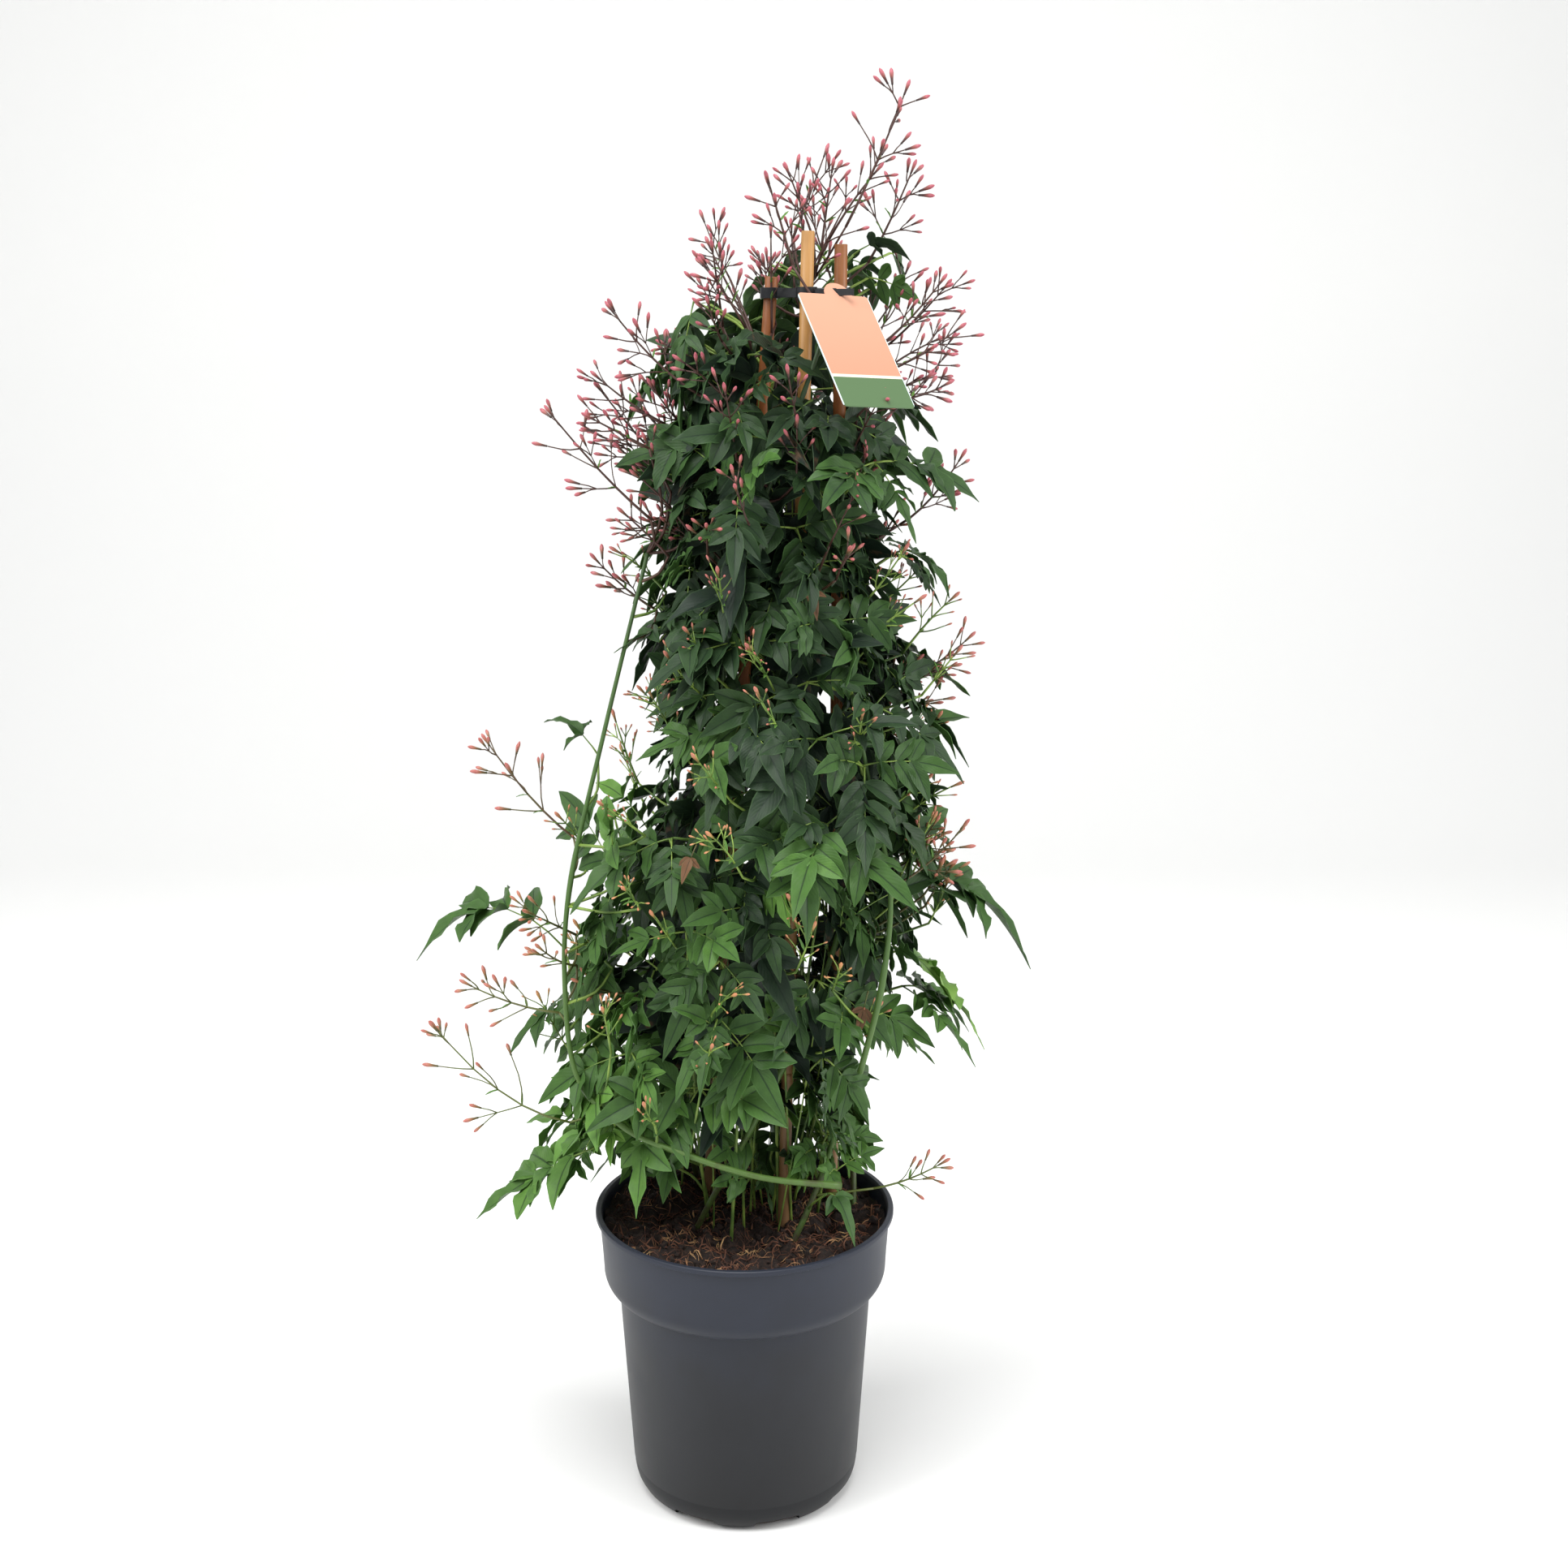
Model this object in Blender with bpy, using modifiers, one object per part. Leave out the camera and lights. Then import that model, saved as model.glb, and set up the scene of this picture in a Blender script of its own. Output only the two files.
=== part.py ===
"""Flowering jasmine trained up a bamboo tripod in a nursery pot.

Metres, +Z up.  The origin is the middle of the pot's underside, which stands on the ground.
The plant is in bud: twining stems carry leafy shoots and sprays of pink flower buds.
"""
import math
import random

import bmesh
import bpy
from mathutils import Matrix, Vector
from mathutils.bvhtree import BVHTree

UP = Vector((0, 0, 1))
GAP = 0.0004                 # clearance between pieces that touch

# Nursery pot, 23 cm
POT_HEIGHT = 0.230
RIM_RADIUS = 0.115
LIP_HEIGHT = 0.0040
WALL = 0.0024
COLLAR_TOP_RADIUS = 0.1120
COLLAR_FOOT_RADIUS = 0.1092
COLLAR_FOOT = 0.1835         # height where the collar starts to turn in
SHOULDER_DROP = 0.0145
BODY_TOP_RADIUS = 0.0983
BODY_FOOT_RADIUS = 0.0884
FOOT_HEIGHT = 0.0215         # the foot tapers in below this
BASE_RADIUS = 0.0775
FLOOR = 0.0030
DRAIN_SLOTS = 8
SLOT_TURN = 0.40             # how far the first slot is turned to the right of the front, in slots
SLOT_WIDTH = 0.036
SLOT_HEIGHT = 0.0085

# Peat
SOIL_LEVEL = 0.2165
SOIL_RINGS = 6
ROUND_STEPS = 32

# Bamboo canes: where each one crosses the peat, and where the clip holds it
CANE_RADIUS = 0.0046
CANE_FOOT = 0.040
CLIP_HEIGHT = 0.914
CANES = {
    "cane_front": ((0.030, -0.010), (0.046, -0.010), 0.955),
    "cane_right": ((0.068, 0.030), (0.070, 0.009), 0.947),
    "cane_left": ((-0.030, 0.050), (0.021, 0.009), 0.925),
}
CANE_JOINTS = (0.16, 0.33, 0.52, 0.70, 0.84)
JOINT_SHIFT = 0.012          # the rings sit a little higher on each next cane
CANE_STEPS = 10
SOCKET_PLAY = 0.0012         # room round a cane in the peat
CLIP_PLAY = 0.0008           # room round a cane in the clip

# Twining stems climb round the tripod
TRUNK_FOOT = Vector((0.018, 0.026, SOIL_LEVEL))
TRUNK_TOP = Vector((0.046, 0.002, CLIP_HEIGHT))
VINES = 5
VINE_FOOT_RING = 0.067
VINE_TOP_RING = 0.039
VINE_RADIUS = 0.0024
VINE_TWIST = 7.5             # radians of turn per metre climbed
VINE_STEPS = 26
POCKET_RADIUS = 0.0036
VINE_TOPS = (0.90, 0.86, 0.92, 0.84, 0.88)

# Two long stems have left the tripod: one sags round the left and the front, one hangs at the right
LOOSE_STEMS = {
    "stem_trailing": ((-0.066, -0.020, 0.735), (-0.077, -0.030, 0.691), (-0.098, -0.040, 0.608),
                      (-0.123, -0.045, 0.504), (-0.129, -0.050, 0.430), (-0.121, -0.055, 0.355),
                      (-0.084, -0.072, 0.322), (-0.038, -0.086, 0.307), (0.015, -0.090, 0.292),
                      (0.072, -0.080, 0.281)),
    "stem_right": ((0.078, -0.055, 0.640), (0.092, -0.060, 0.571), (0.106, -0.064, 0.501),
                   (0.101, -0.064, 0.430), (0.086, -0.058, 0.360)),
}
LOOSE_RADIUS = 0.0022

# Compound leaf, in parts of its span from stalk to tip
LEAFLETS_AT = (0.20, 0.37)
TERMINAL_FROM = 0.50
LEAFLET_REACH = 0.33
LEAFLET_OPEN = math.radians(58)
LEAFLET_SLIM = 0.37          # width of a side leaflet over its length
TERMINAL_SLIM = 0.30
LEAFLET_SAG = 0.10
LEAF_NODE = 0.0032           # length of stalk that a pair of leaflets grows from
STALK = 0.0011               # half thickness of a leaf stalk
BLADE = 0.0006               # half thickness of a leaf
TIP = 0.0004                 # half thickness of a tip

# Leafy shoots, spread up the stems
SHOOTS = 16
FIRST_SHOOT = 0.325
LAST_SHOOT = 0.855
CROWN = ((0.22, 0.120), (0.32, 0.132), (0.42, 0.150), (0.51, 0.146), (0.60, 0.118),
         (0.70, 0.104), (0.80, 0.096), (0.86, 0.082), (0.95, 0.066))

# Long single leaves outside the crown: stalk foot, tip and rise of the arch
OUTER_LEAVES = {
    "leaf_left_long": ((-0.134, -0.010, 0.440), (-0.246, 0.000, 0.427), 0.036),
    "leaf_left_low": ((-0.110, -0.035, 0.292), (-0.203, -0.030, 0.231), 0.006),
    "leaf_left_side": ((-0.126, 0.020, 0.395), (-0.180, 0.005, 0.350), 0.008),
    "leaf_left_loose": ((-0.103, -0.005, 0.590), (-0.146, 0.000, 0.608), 0.010),
    "leaf_right_long": ((0.118, -0.005, 0.478), (0.216, 0.000, 0.420), 0.034),
    "leaf_right_low": ((0.118, 0.020, 0.428), (0.184, 0.015, 0.350), 0.016),
    "leaf_right_side": ((0.112, 0.030, 0.640), (0.158, 0.020, 0.580), 0.014),
    "leaf_top": ((0.082, 0.022, 0.944), (0.119, 0.012, 0.936), 0.010),
    "leaf_rim": ((0.070, -0.062, 0.262), (0.076, -0.096, 0.238), 0.012),
}

# Sprays of flower buds: stalk foot, tip and rise of the arch
SPRAYS = {
    "spray_top": ((0.073, 0.000, 0.958), (0.115, 0.000, 1.052), -0.004),
    "spray_top_left": ((0.036, -0.024, 0.932), (0.020, -0.022, 0.985), 0.002),
    "spray_top_mid": ((0.056, 0.014, 0.940), (0.064, 0.012, 0.998), 0.002),
    "spray_top_right": ((0.090, 0.030, 0.935), (0.121, 0.026, 1.000), -0.003),
    "spray_shoulder_left": ((0.004, -0.022, 0.890), (-0.024, -0.020, 0.932), 0.002),
    "spray_left_high": ((-0.028, -0.030, 0.845), (-0.090, -0.024, 0.905), -0.006),
    "spray_left_upper": ((-0.050, 0.030, 0.790), (-0.101, 0.010, 0.850), -0.004),
    "spray_left_wide": ((-0.062, -0.035, 0.760), (-0.133, -0.032, 0.836), -0.004),
    "spray_left_mid": ((-0.062, 0.012, 0.690), (-0.105, 0.004, 0.728), -0.003),
    "spray_left_lower": ((-0.122, -0.030, 0.530), (-0.186, -0.022, 0.603), -0.006),
    "spray_left_side": ((-0.134, -0.046, 0.402), (-0.204, -0.032, 0.420), -0.004),
    "spray_left_drooping": ((-0.128, -0.050, 0.318), (-0.234, -0.022, 0.388), -0.016),
    "spray_right_high": ((0.098, 0.004, 0.878), (0.140, 0.000, 0.922), -0.003),
    "spray_right_upper": ((0.094, -0.034, 0.842), (0.142, -0.024, 0.852), -0.004),
    "spray_right_mid": ((0.114, 0.014, 0.752), (0.158, 0.010, 0.802), -0.006),
    "spray_right_lower": ((0.116, -0.040, 0.500), (0.160, -0.030, 0.538), -0.004),
    "spray_right_low": ((0.098, -0.034, 0.258), (0.150, -0.030, 0.277), -0.003),
}
SPRAY_NODES = 4
SPRAY_STALK = 0.0009
BUD_LENGTH = 0.013
BUD_RADIUS = 0.0016

# A piece that meets another is grown again up to this many times, moved a little more each time
ATTEMPTS = 60
NUDGE = 0.0004
STEM_ATTEMPTS = 12           # a shoot tries the next stem after this many

# Clip and hang label
CLIP_DEPTH = 0.0075
SLEEVE_WALL = 0.0020
TONGUE_FOOT = Vector((0.050, -0.0135, CLIP_HEIGHT))
TONGUE_TIP = Vector((0.078, -0.026, CLIP_HEIGHT))
LABEL_WIDTH = 0.057
LABEL_HEIGHT = 0.098
LABEL_THICKNESS = 0.0008
LABEL_CORNER = 0.003
LABEL_TAB_RADIUS = 0.011
LABEL_TAB_OFFSET = 0.005     # the tab sits right of the middle
LABEL_ACROSS = Vector((0.854, 0.520, -0.047))
LABEL_DOWN = Vector((0.313, -0.583, -0.748))

for old in list(bpy.data.objects):
    bpy.data.objects.remove(old, do_unlink=True)
jasmine = bpy.data.collections.new("potted_jasmine")
cutters = bpy.data.collections.new("cutters")
for group in (jasmine, cutters):
    bpy.context.scene.collection.children.link(group)


def material(name, red, green, blue, roughness):
    """A plain Principled material."""
    finish = bpy.data.materials.new(name)
    finish.use_nodes = True
    shader = finish.node_tree.nodes["Principled BSDF"]
    shader.inputs["Base Color"].default_value = (red, green, blue, 1)
    shader.inputs["Roughness"].default_value = roughness
    shader.inputs["Metallic"].default_value = 0
    return finish


def add_object(name, data, finish=None, group=jasmine):
    """Puts mesh or curve data into the scene as a named object."""
    piece = bpy.data.objects.new(name, data)
    if finish:
        data.materials.append(finish)
    group.objects.link(piece)
    return piece


def add_bmesh(name, bm, finish=None, group=jasmine):
    """Turns a bmesh into a named object."""
    mesh = bpy.data.meshes.new(name)
    bm.to_mesh(mesh)
    bm.free()
    return add_object(name, mesh, finish, group)


def as_cutter(piece):
    """Marks an object as a cutting shape."""
    piece.hide_render = True
    piece.display_type = "WIRE"
    return piece


def boolean(piece, operation, tool):
    """Adds a Boolean with the exact solver."""
    cut = piece.modifiers.new(operation.lower(), "BOOLEAN")
    cut.operation = operation
    cut.object = tool
    cut.solver = "EXACT"


def turned(name, profile, finish, steps=ROUND_STEPS, group=jasmine):
    """A profile of (radius, height) points turned about Z."""
    bm = bmesh.new()
    corners = [bm.verts.new((radius, 0, height)) for radius, height in profile]
    for first, second in zip(corners, corners[1:]):
        bm.edges.new((first, second))
    piece = add_bmesh(name, bm, finish, group)
    screw = piece.modifiers.new("turn", "SCREW")
    screw.steps = steps
    screw.render_steps = steps
    screw.use_merge_vertices = True
    screw.merge_threshold = 0.00001
    return piece


def evaluated_bvh(piece):
    """A search tree on the object's evaluated mesh in world space."""
    depsgraph = bpy.context.evaluated_depsgraph_get()
    mesh = piece.evaluated_get(depsgraph).to_mesh()
    bm = bmesh.new()
    bm.from_mesh(mesh)
    bm.transform(piece.matrix_world)
    tree = BVHTree.FromBMesh(bm, epsilon=GAP)
    bm.free()
    return tree


# ---- Pot and peat -------------------------------------------------------------------------------

def shoulder(steps=4):
    """The quarter turn from the collar in to the body."""
    run = COLLAR_FOOT_RADIUS - BODY_TOP_RADIUS
    quarter = [math.pi / 2 * step / steps for step in range(steps + 1)]
    return [(BODY_TOP_RADIUS + run * math.cos(a), COLLAR_FOOT - SHOULDER_DROP * math.sin(a))
            for a in quarter]


def foot(steps=3):
    """The curve from the body in to the base."""
    run = BODY_FOOT_RADIUS - BASE_RADIUS
    quarter = [math.pi / 2 * step / steps for step in range(steps + 1)]
    return [(BASE_RADIUS + run * math.cos(a), FOOT_HEIGHT * (1 - math.sin(a))) for a in quarter]


def pot_profile():
    """From the floor inside, up the wall, over the lip and down the outside."""
    wall = [(COLLAR_TOP_RADIUS, POT_HEIGHT - LIP_HEIGHT)] + shoulder() + foot()[:-1]
    inside = [(radius - WALL, height) for radius, height in reversed(wall)]
    lip = [(COLLAR_TOP_RADIUS - WALL, POT_HEIGHT), (RIM_RADIUS, POT_HEIGHT),
           (RIM_RADIUS, POT_HEIGHT - LIP_HEIGHT)]
    inside[0] = (inside[0][0], FLOOR + 0.003)
    floor = [(0, FLOOR), (BASE_RADIUS - WALL - 0.002, FLOOR)]
    return floor + inside + lip + wall + [(BASE_RADIUS, 0), (0, 0)]


def peat_height(x, y):
    """The lumpy top of the peat, highest round the stems and banked up at the back and left."""
    lumps = 0.0022 * math.sin(61 * x + 1.0) * math.cos(53 * y + 0.4)
    lumps += 0.0012 * math.sin(131 * x - 97 * y)
    mound = 0.0030 * math.exp(-((x - 0.02) ** 2 + (y - 0.03) ** 2) / 0.0030)
    bank = 0.0060 * max(0, (0.6 * y - 0.8 * x) / RIM_RADIUS) ** 1.5
    return SOIL_LEVEL + lumps + mound + bank


def build_pot():
    plastic = material("pot_plastic", 0.055, 0.059, 0.068, 0.5)
    pot = turned("pot", pot_profile(), plastic)
    bm = bmesh.new()
    for slot in range(DRAIN_SLOTS):
        turn = Matrix.Rotation(2 * math.pi * (slot + SLOT_TURN) / DRAIN_SLOTS - math.pi / 2, 4, "Z")
        place = turn @ Matrix.Translation((BASE_RADIUS + 0.004, 0, 0))
        size = Matrix.Diagonal((0.026, SLOT_WIDTH, 2 * SLOT_HEIGHT, 1))
        bmesh.ops.create_cube(bm, size=1, matrix=place @ size)
    boolean(pot, "DIFFERENCE", as_cutter(add_bmesh("drain_slots", bm, group=cutters)))
    return pot


def build_soil(sockets):
    """Peat that fills the pot, with a socket for each cane and stem."""
    wall = [(COLLAR_TOP_RADIUS - 0.0010, SOIL_LEVEL)] + shoulder() + foot()[:-1]
    side = [(radius - WALL - GAP, height) for radius, height in wall]
    side[-1] = (side[-1][0], FLOOR + 0.004)
    base = [(BASE_RADIUS - WALL - 0.004, FLOOR + GAP), (0, FLOOR + GAP)]
    top = [(side[0][0] * ring / SOIL_RINGS, SOIL_LEVEL) for ring in range(SOIL_RINGS)]
    bm = bmesh.new()
    corners = [bm.verts.new((radius, 0, height)) for radius, height in top + side + base]
    edges = [bm.edges.new(pair) for pair in zip(corners, corners[1:])]
    bmesh.ops.spin(bm, geom=corners + edges, cent=(0, 0, 0), axis=UP, angle=2 * math.pi,
                   steps=ROUND_STEPS, use_merge=True)
    bmesh.ops.remove_doubles(bm, verts=bm.verts, dist=0.00001)
    bmesh.ops.recalc_face_normals(bm, faces=bm.faces)
    for vert in bm.verts:
        if vert.co.z > SOIL_LEVEL - 0.0001:
            vert.co.z = peat_height(vert.co.x, vert.co.y)
    soil = add_bmesh("soil", bm, material("peat", 0.030, 0.018, 0.012, 0.95))
    for socket in sockets:
        boolean(soil, "DIFFERENCE", socket)
    return soil


# ---- Canes, clip and label ----------------------------------------------------------------------

def cane_line(foot_at, top_at):
    """The cane's lowest point and its direction."""
    low = Vector((*foot_at, SOIL_LEVEL))
    high = Vector((*top_at, CLIP_HEIGHT))
    aim = (high - low).normalized()
    return low + aim * ((CANE_FOOT - SOIL_LEVEL) / aim.z), aim


def build_canes():
    """Each cane with the slight rings of bamboo, and the cutter for its socket in the peat."""
    sockets = []
    pieces = []
    for number, (name, (foot_at, top_at, top)) in enumerate(CANES.items()):
        start, aim = cane_line(foot_at, top_at)
        length = (top - CANE_FOOT) / aim.z
        profile = [(0, length), (CANE_RADIUS, length)]
        for joint in reversed(CANE_JOINTS):
            ring = joint * length + JOINT_SHIFT * number
            profile += [(CANE_RADIUS, ring + 0.004), (CANE_RADIUS + 0.0003, ring),
                        (CANE_RADIUS, ring - 0.004)]
        profile += [(CANE_RADIUS, 0), (0, 0)]
        bamboo = material("bamboo_" + name, 0.50, 0.27, 0.10, 0.5)
        cane = turned(name, profile, bamboo, steps=CANE_STEPS)
        cane.matrix_world = Matrix.Translation(start) @ aim.to_track_quat("Z", "Y").to_matrix().to_4x4()
        pieces.append(cane)

        bm = bmesh.new()
        depth = SOIL_LEVEL - CANE_FOOT + 0.020
        bmesh.ops.create_cone(bm, cap_ends=True, segments=12, radius1=CANE_RADIUS + SOCKET_PLAY,
                              radius2=CANE_RADIUS + SOCKET_PLAY, depth=depth)
        bmesh.ops.translate(bm, verts=bm.verts, vec=(0, 0, depth / 2 - 0.001))
        socket = add_bmesh(name + "_socket", bm, group=cutters)
        socket.matrix_world = cane.matrix_world
        sockets.append(as_cutter(socket))
    return pieces, sockets


def clip_point(name):
    return Vector((*CANES[name][1], CLIP_HEIGHT))


def cylinder(bm, centre, radius, depth, segments=16):
    bmesh.ops.create_cone(bm, cap_ends=True, segments=segments, radius1=radius, radius2=radius,
                          depth=depth, matrix=Matrix.Translation(centre))


def bar(bm, start, end, width, depth, longer=0.0):
    """A flat bar between two points."""
    run = end - start
    turn = Matrix.Rotation(math.atan2(run.y, run.x), 4, "Z")
    size = Matrix.Diagonal((run.length + longer, width, depth, 1))
    middle = Matrix.Translation((start + end) / 2)
    bmesh.ops.create_cube(bm, size=1, matrix=middle @ turn @ size)


def build_clip():
    """Moulded clip: three sleeves joined by webs, with a tongue for the label."""
    sleeve = CANE_RADIUS + CLIP_PLAY + SLEEVE_WALL
    bm = bmesh.new()
    cylinder(bm, clip_point("cane_front"), sleeve, CLIP_DEPTH)
    clip = add_bmesh("cane_clip", bm, material("clip_plastic", 0.012, 0.014, 0.018, 0.35))
    shapes = []
    for name in ("cane_left", "cane_right"):
        bm = bmesh.new()
        cylinder(bm, clip_point(name), sleeve, CLIP_DEPTH * 0.98)
        shapes.append(add_bmesh(name + "_sleeve", bm, group=cutters))
        bm = bmesh.new()
        bar(bm, clip_point("cane_front"), clip_point(name), 0.0030, CLIP_DEPTH * 0.8)
        shapes.append(add_bmesh(name + "_web", bm, group=cutters))
    bm = bmesh.new()
    bar(bm, TONGUE_FOOT, TONGUE_TIP, 0.0016, CLIP_DEPTH * 0.6)
    shapes.append(add_bmesh("tongue", bm, group=cutters))
    for shape in shapes:
        boolean(clip, "UNION", as_cutter(shape))
    for name in CANES:
        bm = bmesh.new()
        cylinder(bm, clip_point(name), CANE_RADIUS + CLIP_PLAY, 5 * CLIP_DEPTH)
        boolean(clip, "DIFFERENCE", as_cutter(add_bmesh(name + "_hole", bm, group=cutters)))
    return clip


def arc(x, y, radius, first, last, steps=4):
    """Points round part of a circle."""
    angles = [first + (last - first) * step / steps for step in range(steps + 1)]
    return [(x + radius * math.cos(angle), y + radius * math.sin(angle)) for angle in angles]


def label_outline():
    """Rounded card with a round tab on its top edge, clockwise from the top left."""
    quarter = math.pi / 2
    side = LABEL_WIDTH / 2 - LABEL_CORNER
    low = LABEL_CORNER - LABEL_HEIGHT
    points = arc(-side, -LABEL_CORNER, LABEL_CORNER, 2 * quarter, quarter)
    points += arc(LABEL_TAB_OFFSET, 0, LABEL_TAB_RADIUS, 2 * quarter - 0.02, 0.02, steps=10)
    points += arc(side, -LABEL_CORNER, LABEL_CORNER, quarter, 0)
    points += arc(side, low, LABEL_CORNER, 0, -quarter)
    points += arc(-side, low, LABEL_CORNER, -quarter, -2 * quarter)
    return points


def build_label():
    """Printed card that hangs by its tab on the clip's tongue."""
    curve = bpy.data.curves.new("label_outline", "CURVE")
    curve.dimensions = "2D"
    curve.fill_mode = "BOTH"
    curve.extrude = LABEL_THICKNESS / 2
    outline = label_outline()
    spline = curve.splines.new("POLY")
    spline.points.add(len(outline) - 1)
    for point, (x, y) in zip(spline.points, outline):
        point.co = (x, y, 0, 1)
    spline.use_cyclic_u = True
    flat = add_object("label_flat", curve, group=cutters)

    across = LABEL_ACROSS.normalized()
    down = (LABEL_DOWN - across * LABEL_DOWN.dot(across)).normalized()
    facing = (-across.cross(down)).normalized()
    hang = TONGUE_FOOT.lerp(TONGUE_TIP, 0.6)
    corner = hang - across * LABEL_TAB_OFFSET + down * 0.003
    columns = Matrix((across, -down, facing)).transposed().to_4x4()
    mesh = bpy.data.meshes.new_from_object(flat.evaluated_get(bpy.context.evaluated_depsgraph_get()))
    bpy.data.objects.remove(flat)
    bm = bmesh.new()
    bm.from_mesh(mesh)
    bmesh.ops.remove_doubles(bm, verts=bm.verts, dist=0.00001)
    bmesh.ops.recalc_face_normals(bm, faces=bm.faces)
    bm.transform(Matrix.Translation(corner) @ columns)
    label = add_bmesh("label", bm, material("label_card", 0.85, 0.42, 0.25, 0.4))
    bm = bmesh.new()
    bar(bm, TONGUE_FOOT, TONGUE_TIP, 0.0030, CLIP_DEPTH * 0.6 + 0.0010, longer=0.02)
    boolean(label, "DIFFERENCE", as_cutter(add_bmesh("label_slot", bm, group=cutters)))
    return label


# ---- Stems --------------------------------------------------------------------------------------

def trunk(height):
    """The middle of the tripod at a height."""
    part = (height - TRUNK_FOOT.z) / (TRUNK_TOP.z - TRUNK_FOOT.z)
    return TRUNK_FOOT.lerp(TRUNK_TOP, part)


def vine_ring(height):
    """How far the twining stems run from the middle of the tripod."""
    part = (height - TRUNK_FOOT.z) / (TRUNK_TOP.z - TRUNK_FOOT.z)
    return VINE_FOOT_RING + (VINE_TOP_RING - VINE_FOOT_RING) * part


def vine_turn(number, height):
    """The bearing of one twining stem at a height."""
    return 2 * math.pi * number / VINES + VINE_TWIST * (height - SOIL_LEVEL)


def bearing(turn):
    return Vector((math.cos(turn), math.sin(turn), 0))


def tube(name, points, radii, finish):
    """A capped round stem along points, thinner towards its end."""
    curve = bpy.data.curves.new(name, "CURVE")
    curve.dimensions = "3D"
    curve.bevel_depth = 1
    curve.bevel_resolution = 1
    curve.use_fill_caps = True
    spline = curve.splines.new("POLY")
    spline.points.add(len(points) - 1)
    for point, place, radius in zip(spline.points, points, radii):
        point.co = (*place, 1)
        point.radius = radius
    return add_object(name, curve, finish)


def smooth_path(points, steps):
    """Points on the smooth curve that passes through the given ones."""
    ends = [points[0] * 2 - points[1], *points, points[-1] * 2 - points[-2]]
    path = []
    for a, b, c, d in zip(ends, ends[1:], ends[2:], ends[3:]):
        for step in range(steps):
            t = step / steps
            path.append(0.5 * (2 * b + (c - a) * t + (2 * a - 5 * b + 4 * c - d) * t ** 2
                               + (3 * b - a - 3 * c + d) * t ** 3))
    return path + [points[-1]]


def build_stems():
    """Twining stems from sockets in the peat, and the two loose ones."""
    bark = material("stem_green", 0.10, 0.17, 0.05, 0.6)
    pieces = []
    bm = bmesh.new()
    for number in range(VINES):
        foot_height = SOIL_LEVEL - 0.008
        path = []
        radii = []
        for step in range(VINE_STEPS + 1):
            part = step / VINE_STEPS
            height = foot_height + (VINE_TOPS[number] - foot_height) * part
            turn = vine_turn(number, height)
            wander = 1 + 0.04 * math.sin(9 * part + number)
            path.append(trunk(height) + bearing(turn) * vine_ring(height) * wander)
            radii.append(VINE_RADIUS * (1 - 0.35 * part))
        pieces.append(tube(f"stem_{number + 1}", path, radii, bark))
        aim = (path[1] - path[0]).normalized()
        turn = aim.to_track_quat("Z", "Y").to_matrix().to_4x4()
        bmesh.ops.create_cone(bm, cap_ends=True, segments=10, radius1=POCKET_RADIUS,
                              radius2=POCKET_RADIUS, depth=0.030,
                              matrix=Matrix.Translation(path[0] + aim * 0.0135) @ turn)
    pockets = as_cutter(add_bmesh("stem_pockets", bm, group=cutters))
    for name, points in LOOSE_STEMS.items():
        path = smooth_path([Vector(point) for point in points], 3)
        radii = [LOOSE_RADIUS] * len(path)
        pieces.append(tube(name, path, radii, bark))
    return pieces, pockets


# ---- Growth: solids that branch by extruding faces ----------------------------------------------

def frame_at(heading, across):
    across = (across - heading * across.dot(heading)).normalized()
    return across, heading.cross(across)


def seed(bm, base, heading, across, half, length):
    """The first short block of a stalk; returns its end face."""
    across, deep = frame_at(heading, across)
    turn = Matrix((across, deep, heading)).transposed().to_4x4()
    place = Matrix.Translation(base + heading * length / 2)
    size = Matrix.Diagonal((2 * half, 2 * half, length, 1))
    made = bmesh.ops.create_cube(bm, size=1, matrix=place @ turn @ size)
    faces = {face for vert in made["verts"] for face in vert.link_faces}
    for face in faces:
        face.normal_update()
    return max(faces, key=lambda face: face.normal.dot(heading))


def push(bm, face, centre, heading, across, half_across, half_deep):
    """Extrudes a face to a rectangle that looks along heading, and returns the new end face."""
    end = bmesh.ops.extrude_discrete_faces(bm, faces=[face])["faces"][0]
    across, deep = frame_at(heading, across)
    corners = [centre + across * half_across * a + deep * half_deep * d
               for a, d in ((1, 1), (-1, 1), (-1, -1), (1, -1))]
    verts = [loop.vert for loop in end.loops]
    turn = min(range(4), key=lambda k: sum((verts[i].co - corners[(i + k) % 4]).length
                                           for i in range(4)))
    for i, vert in enumerate(verts):
        vert.co = corners[(i + turn) % 4]
    return end


def side_face(end, aim):
    """The face beside an end face that looks most nearly along aim."""
    beside = [face for edge in end.edges for face in edge.link_faces if face != end]
    for face in beside:
        face.normal_update()
    return max(beside, key=lambda face: face.normal.dot(aim))


class Arch:
    """A stalk's line from base to tip that rises in an even arch, with its upper face outwards."""

    def __init__(self, base, tip, rise, out):
        self.base = base
        self.span = tip - base
        self.rise = rise
        self.out = out

    def at(self, part):
        return self.base + self.span * part + UP * (4 * self.rise * part * (1 - part))

    def heading(self, part):
        return (self.span + UP * (4 * self.rise * (1 - 2 * part))).normalized()

    def across(self, part):
        heading = self.heading(part)
        face = UP * 0.8 + self.out * 0.6
        return heading.cross(face).normalized()


def leaflet_lines(arch):
    """Foot, hand and direction of each side leaflet of a compound leaf."""
    lines = []
    for part in LEAFLETS_AT:
        heading = arch.heading(part)
        across = arch.across(part)
        for hand in (-1, 1):
            aim = heading * math.cos(LEAFLET_OPEN) + across * hand * math.sin(LEAFLET_OPEN)
            lines.append((part, hand, aim))
    return lines


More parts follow.
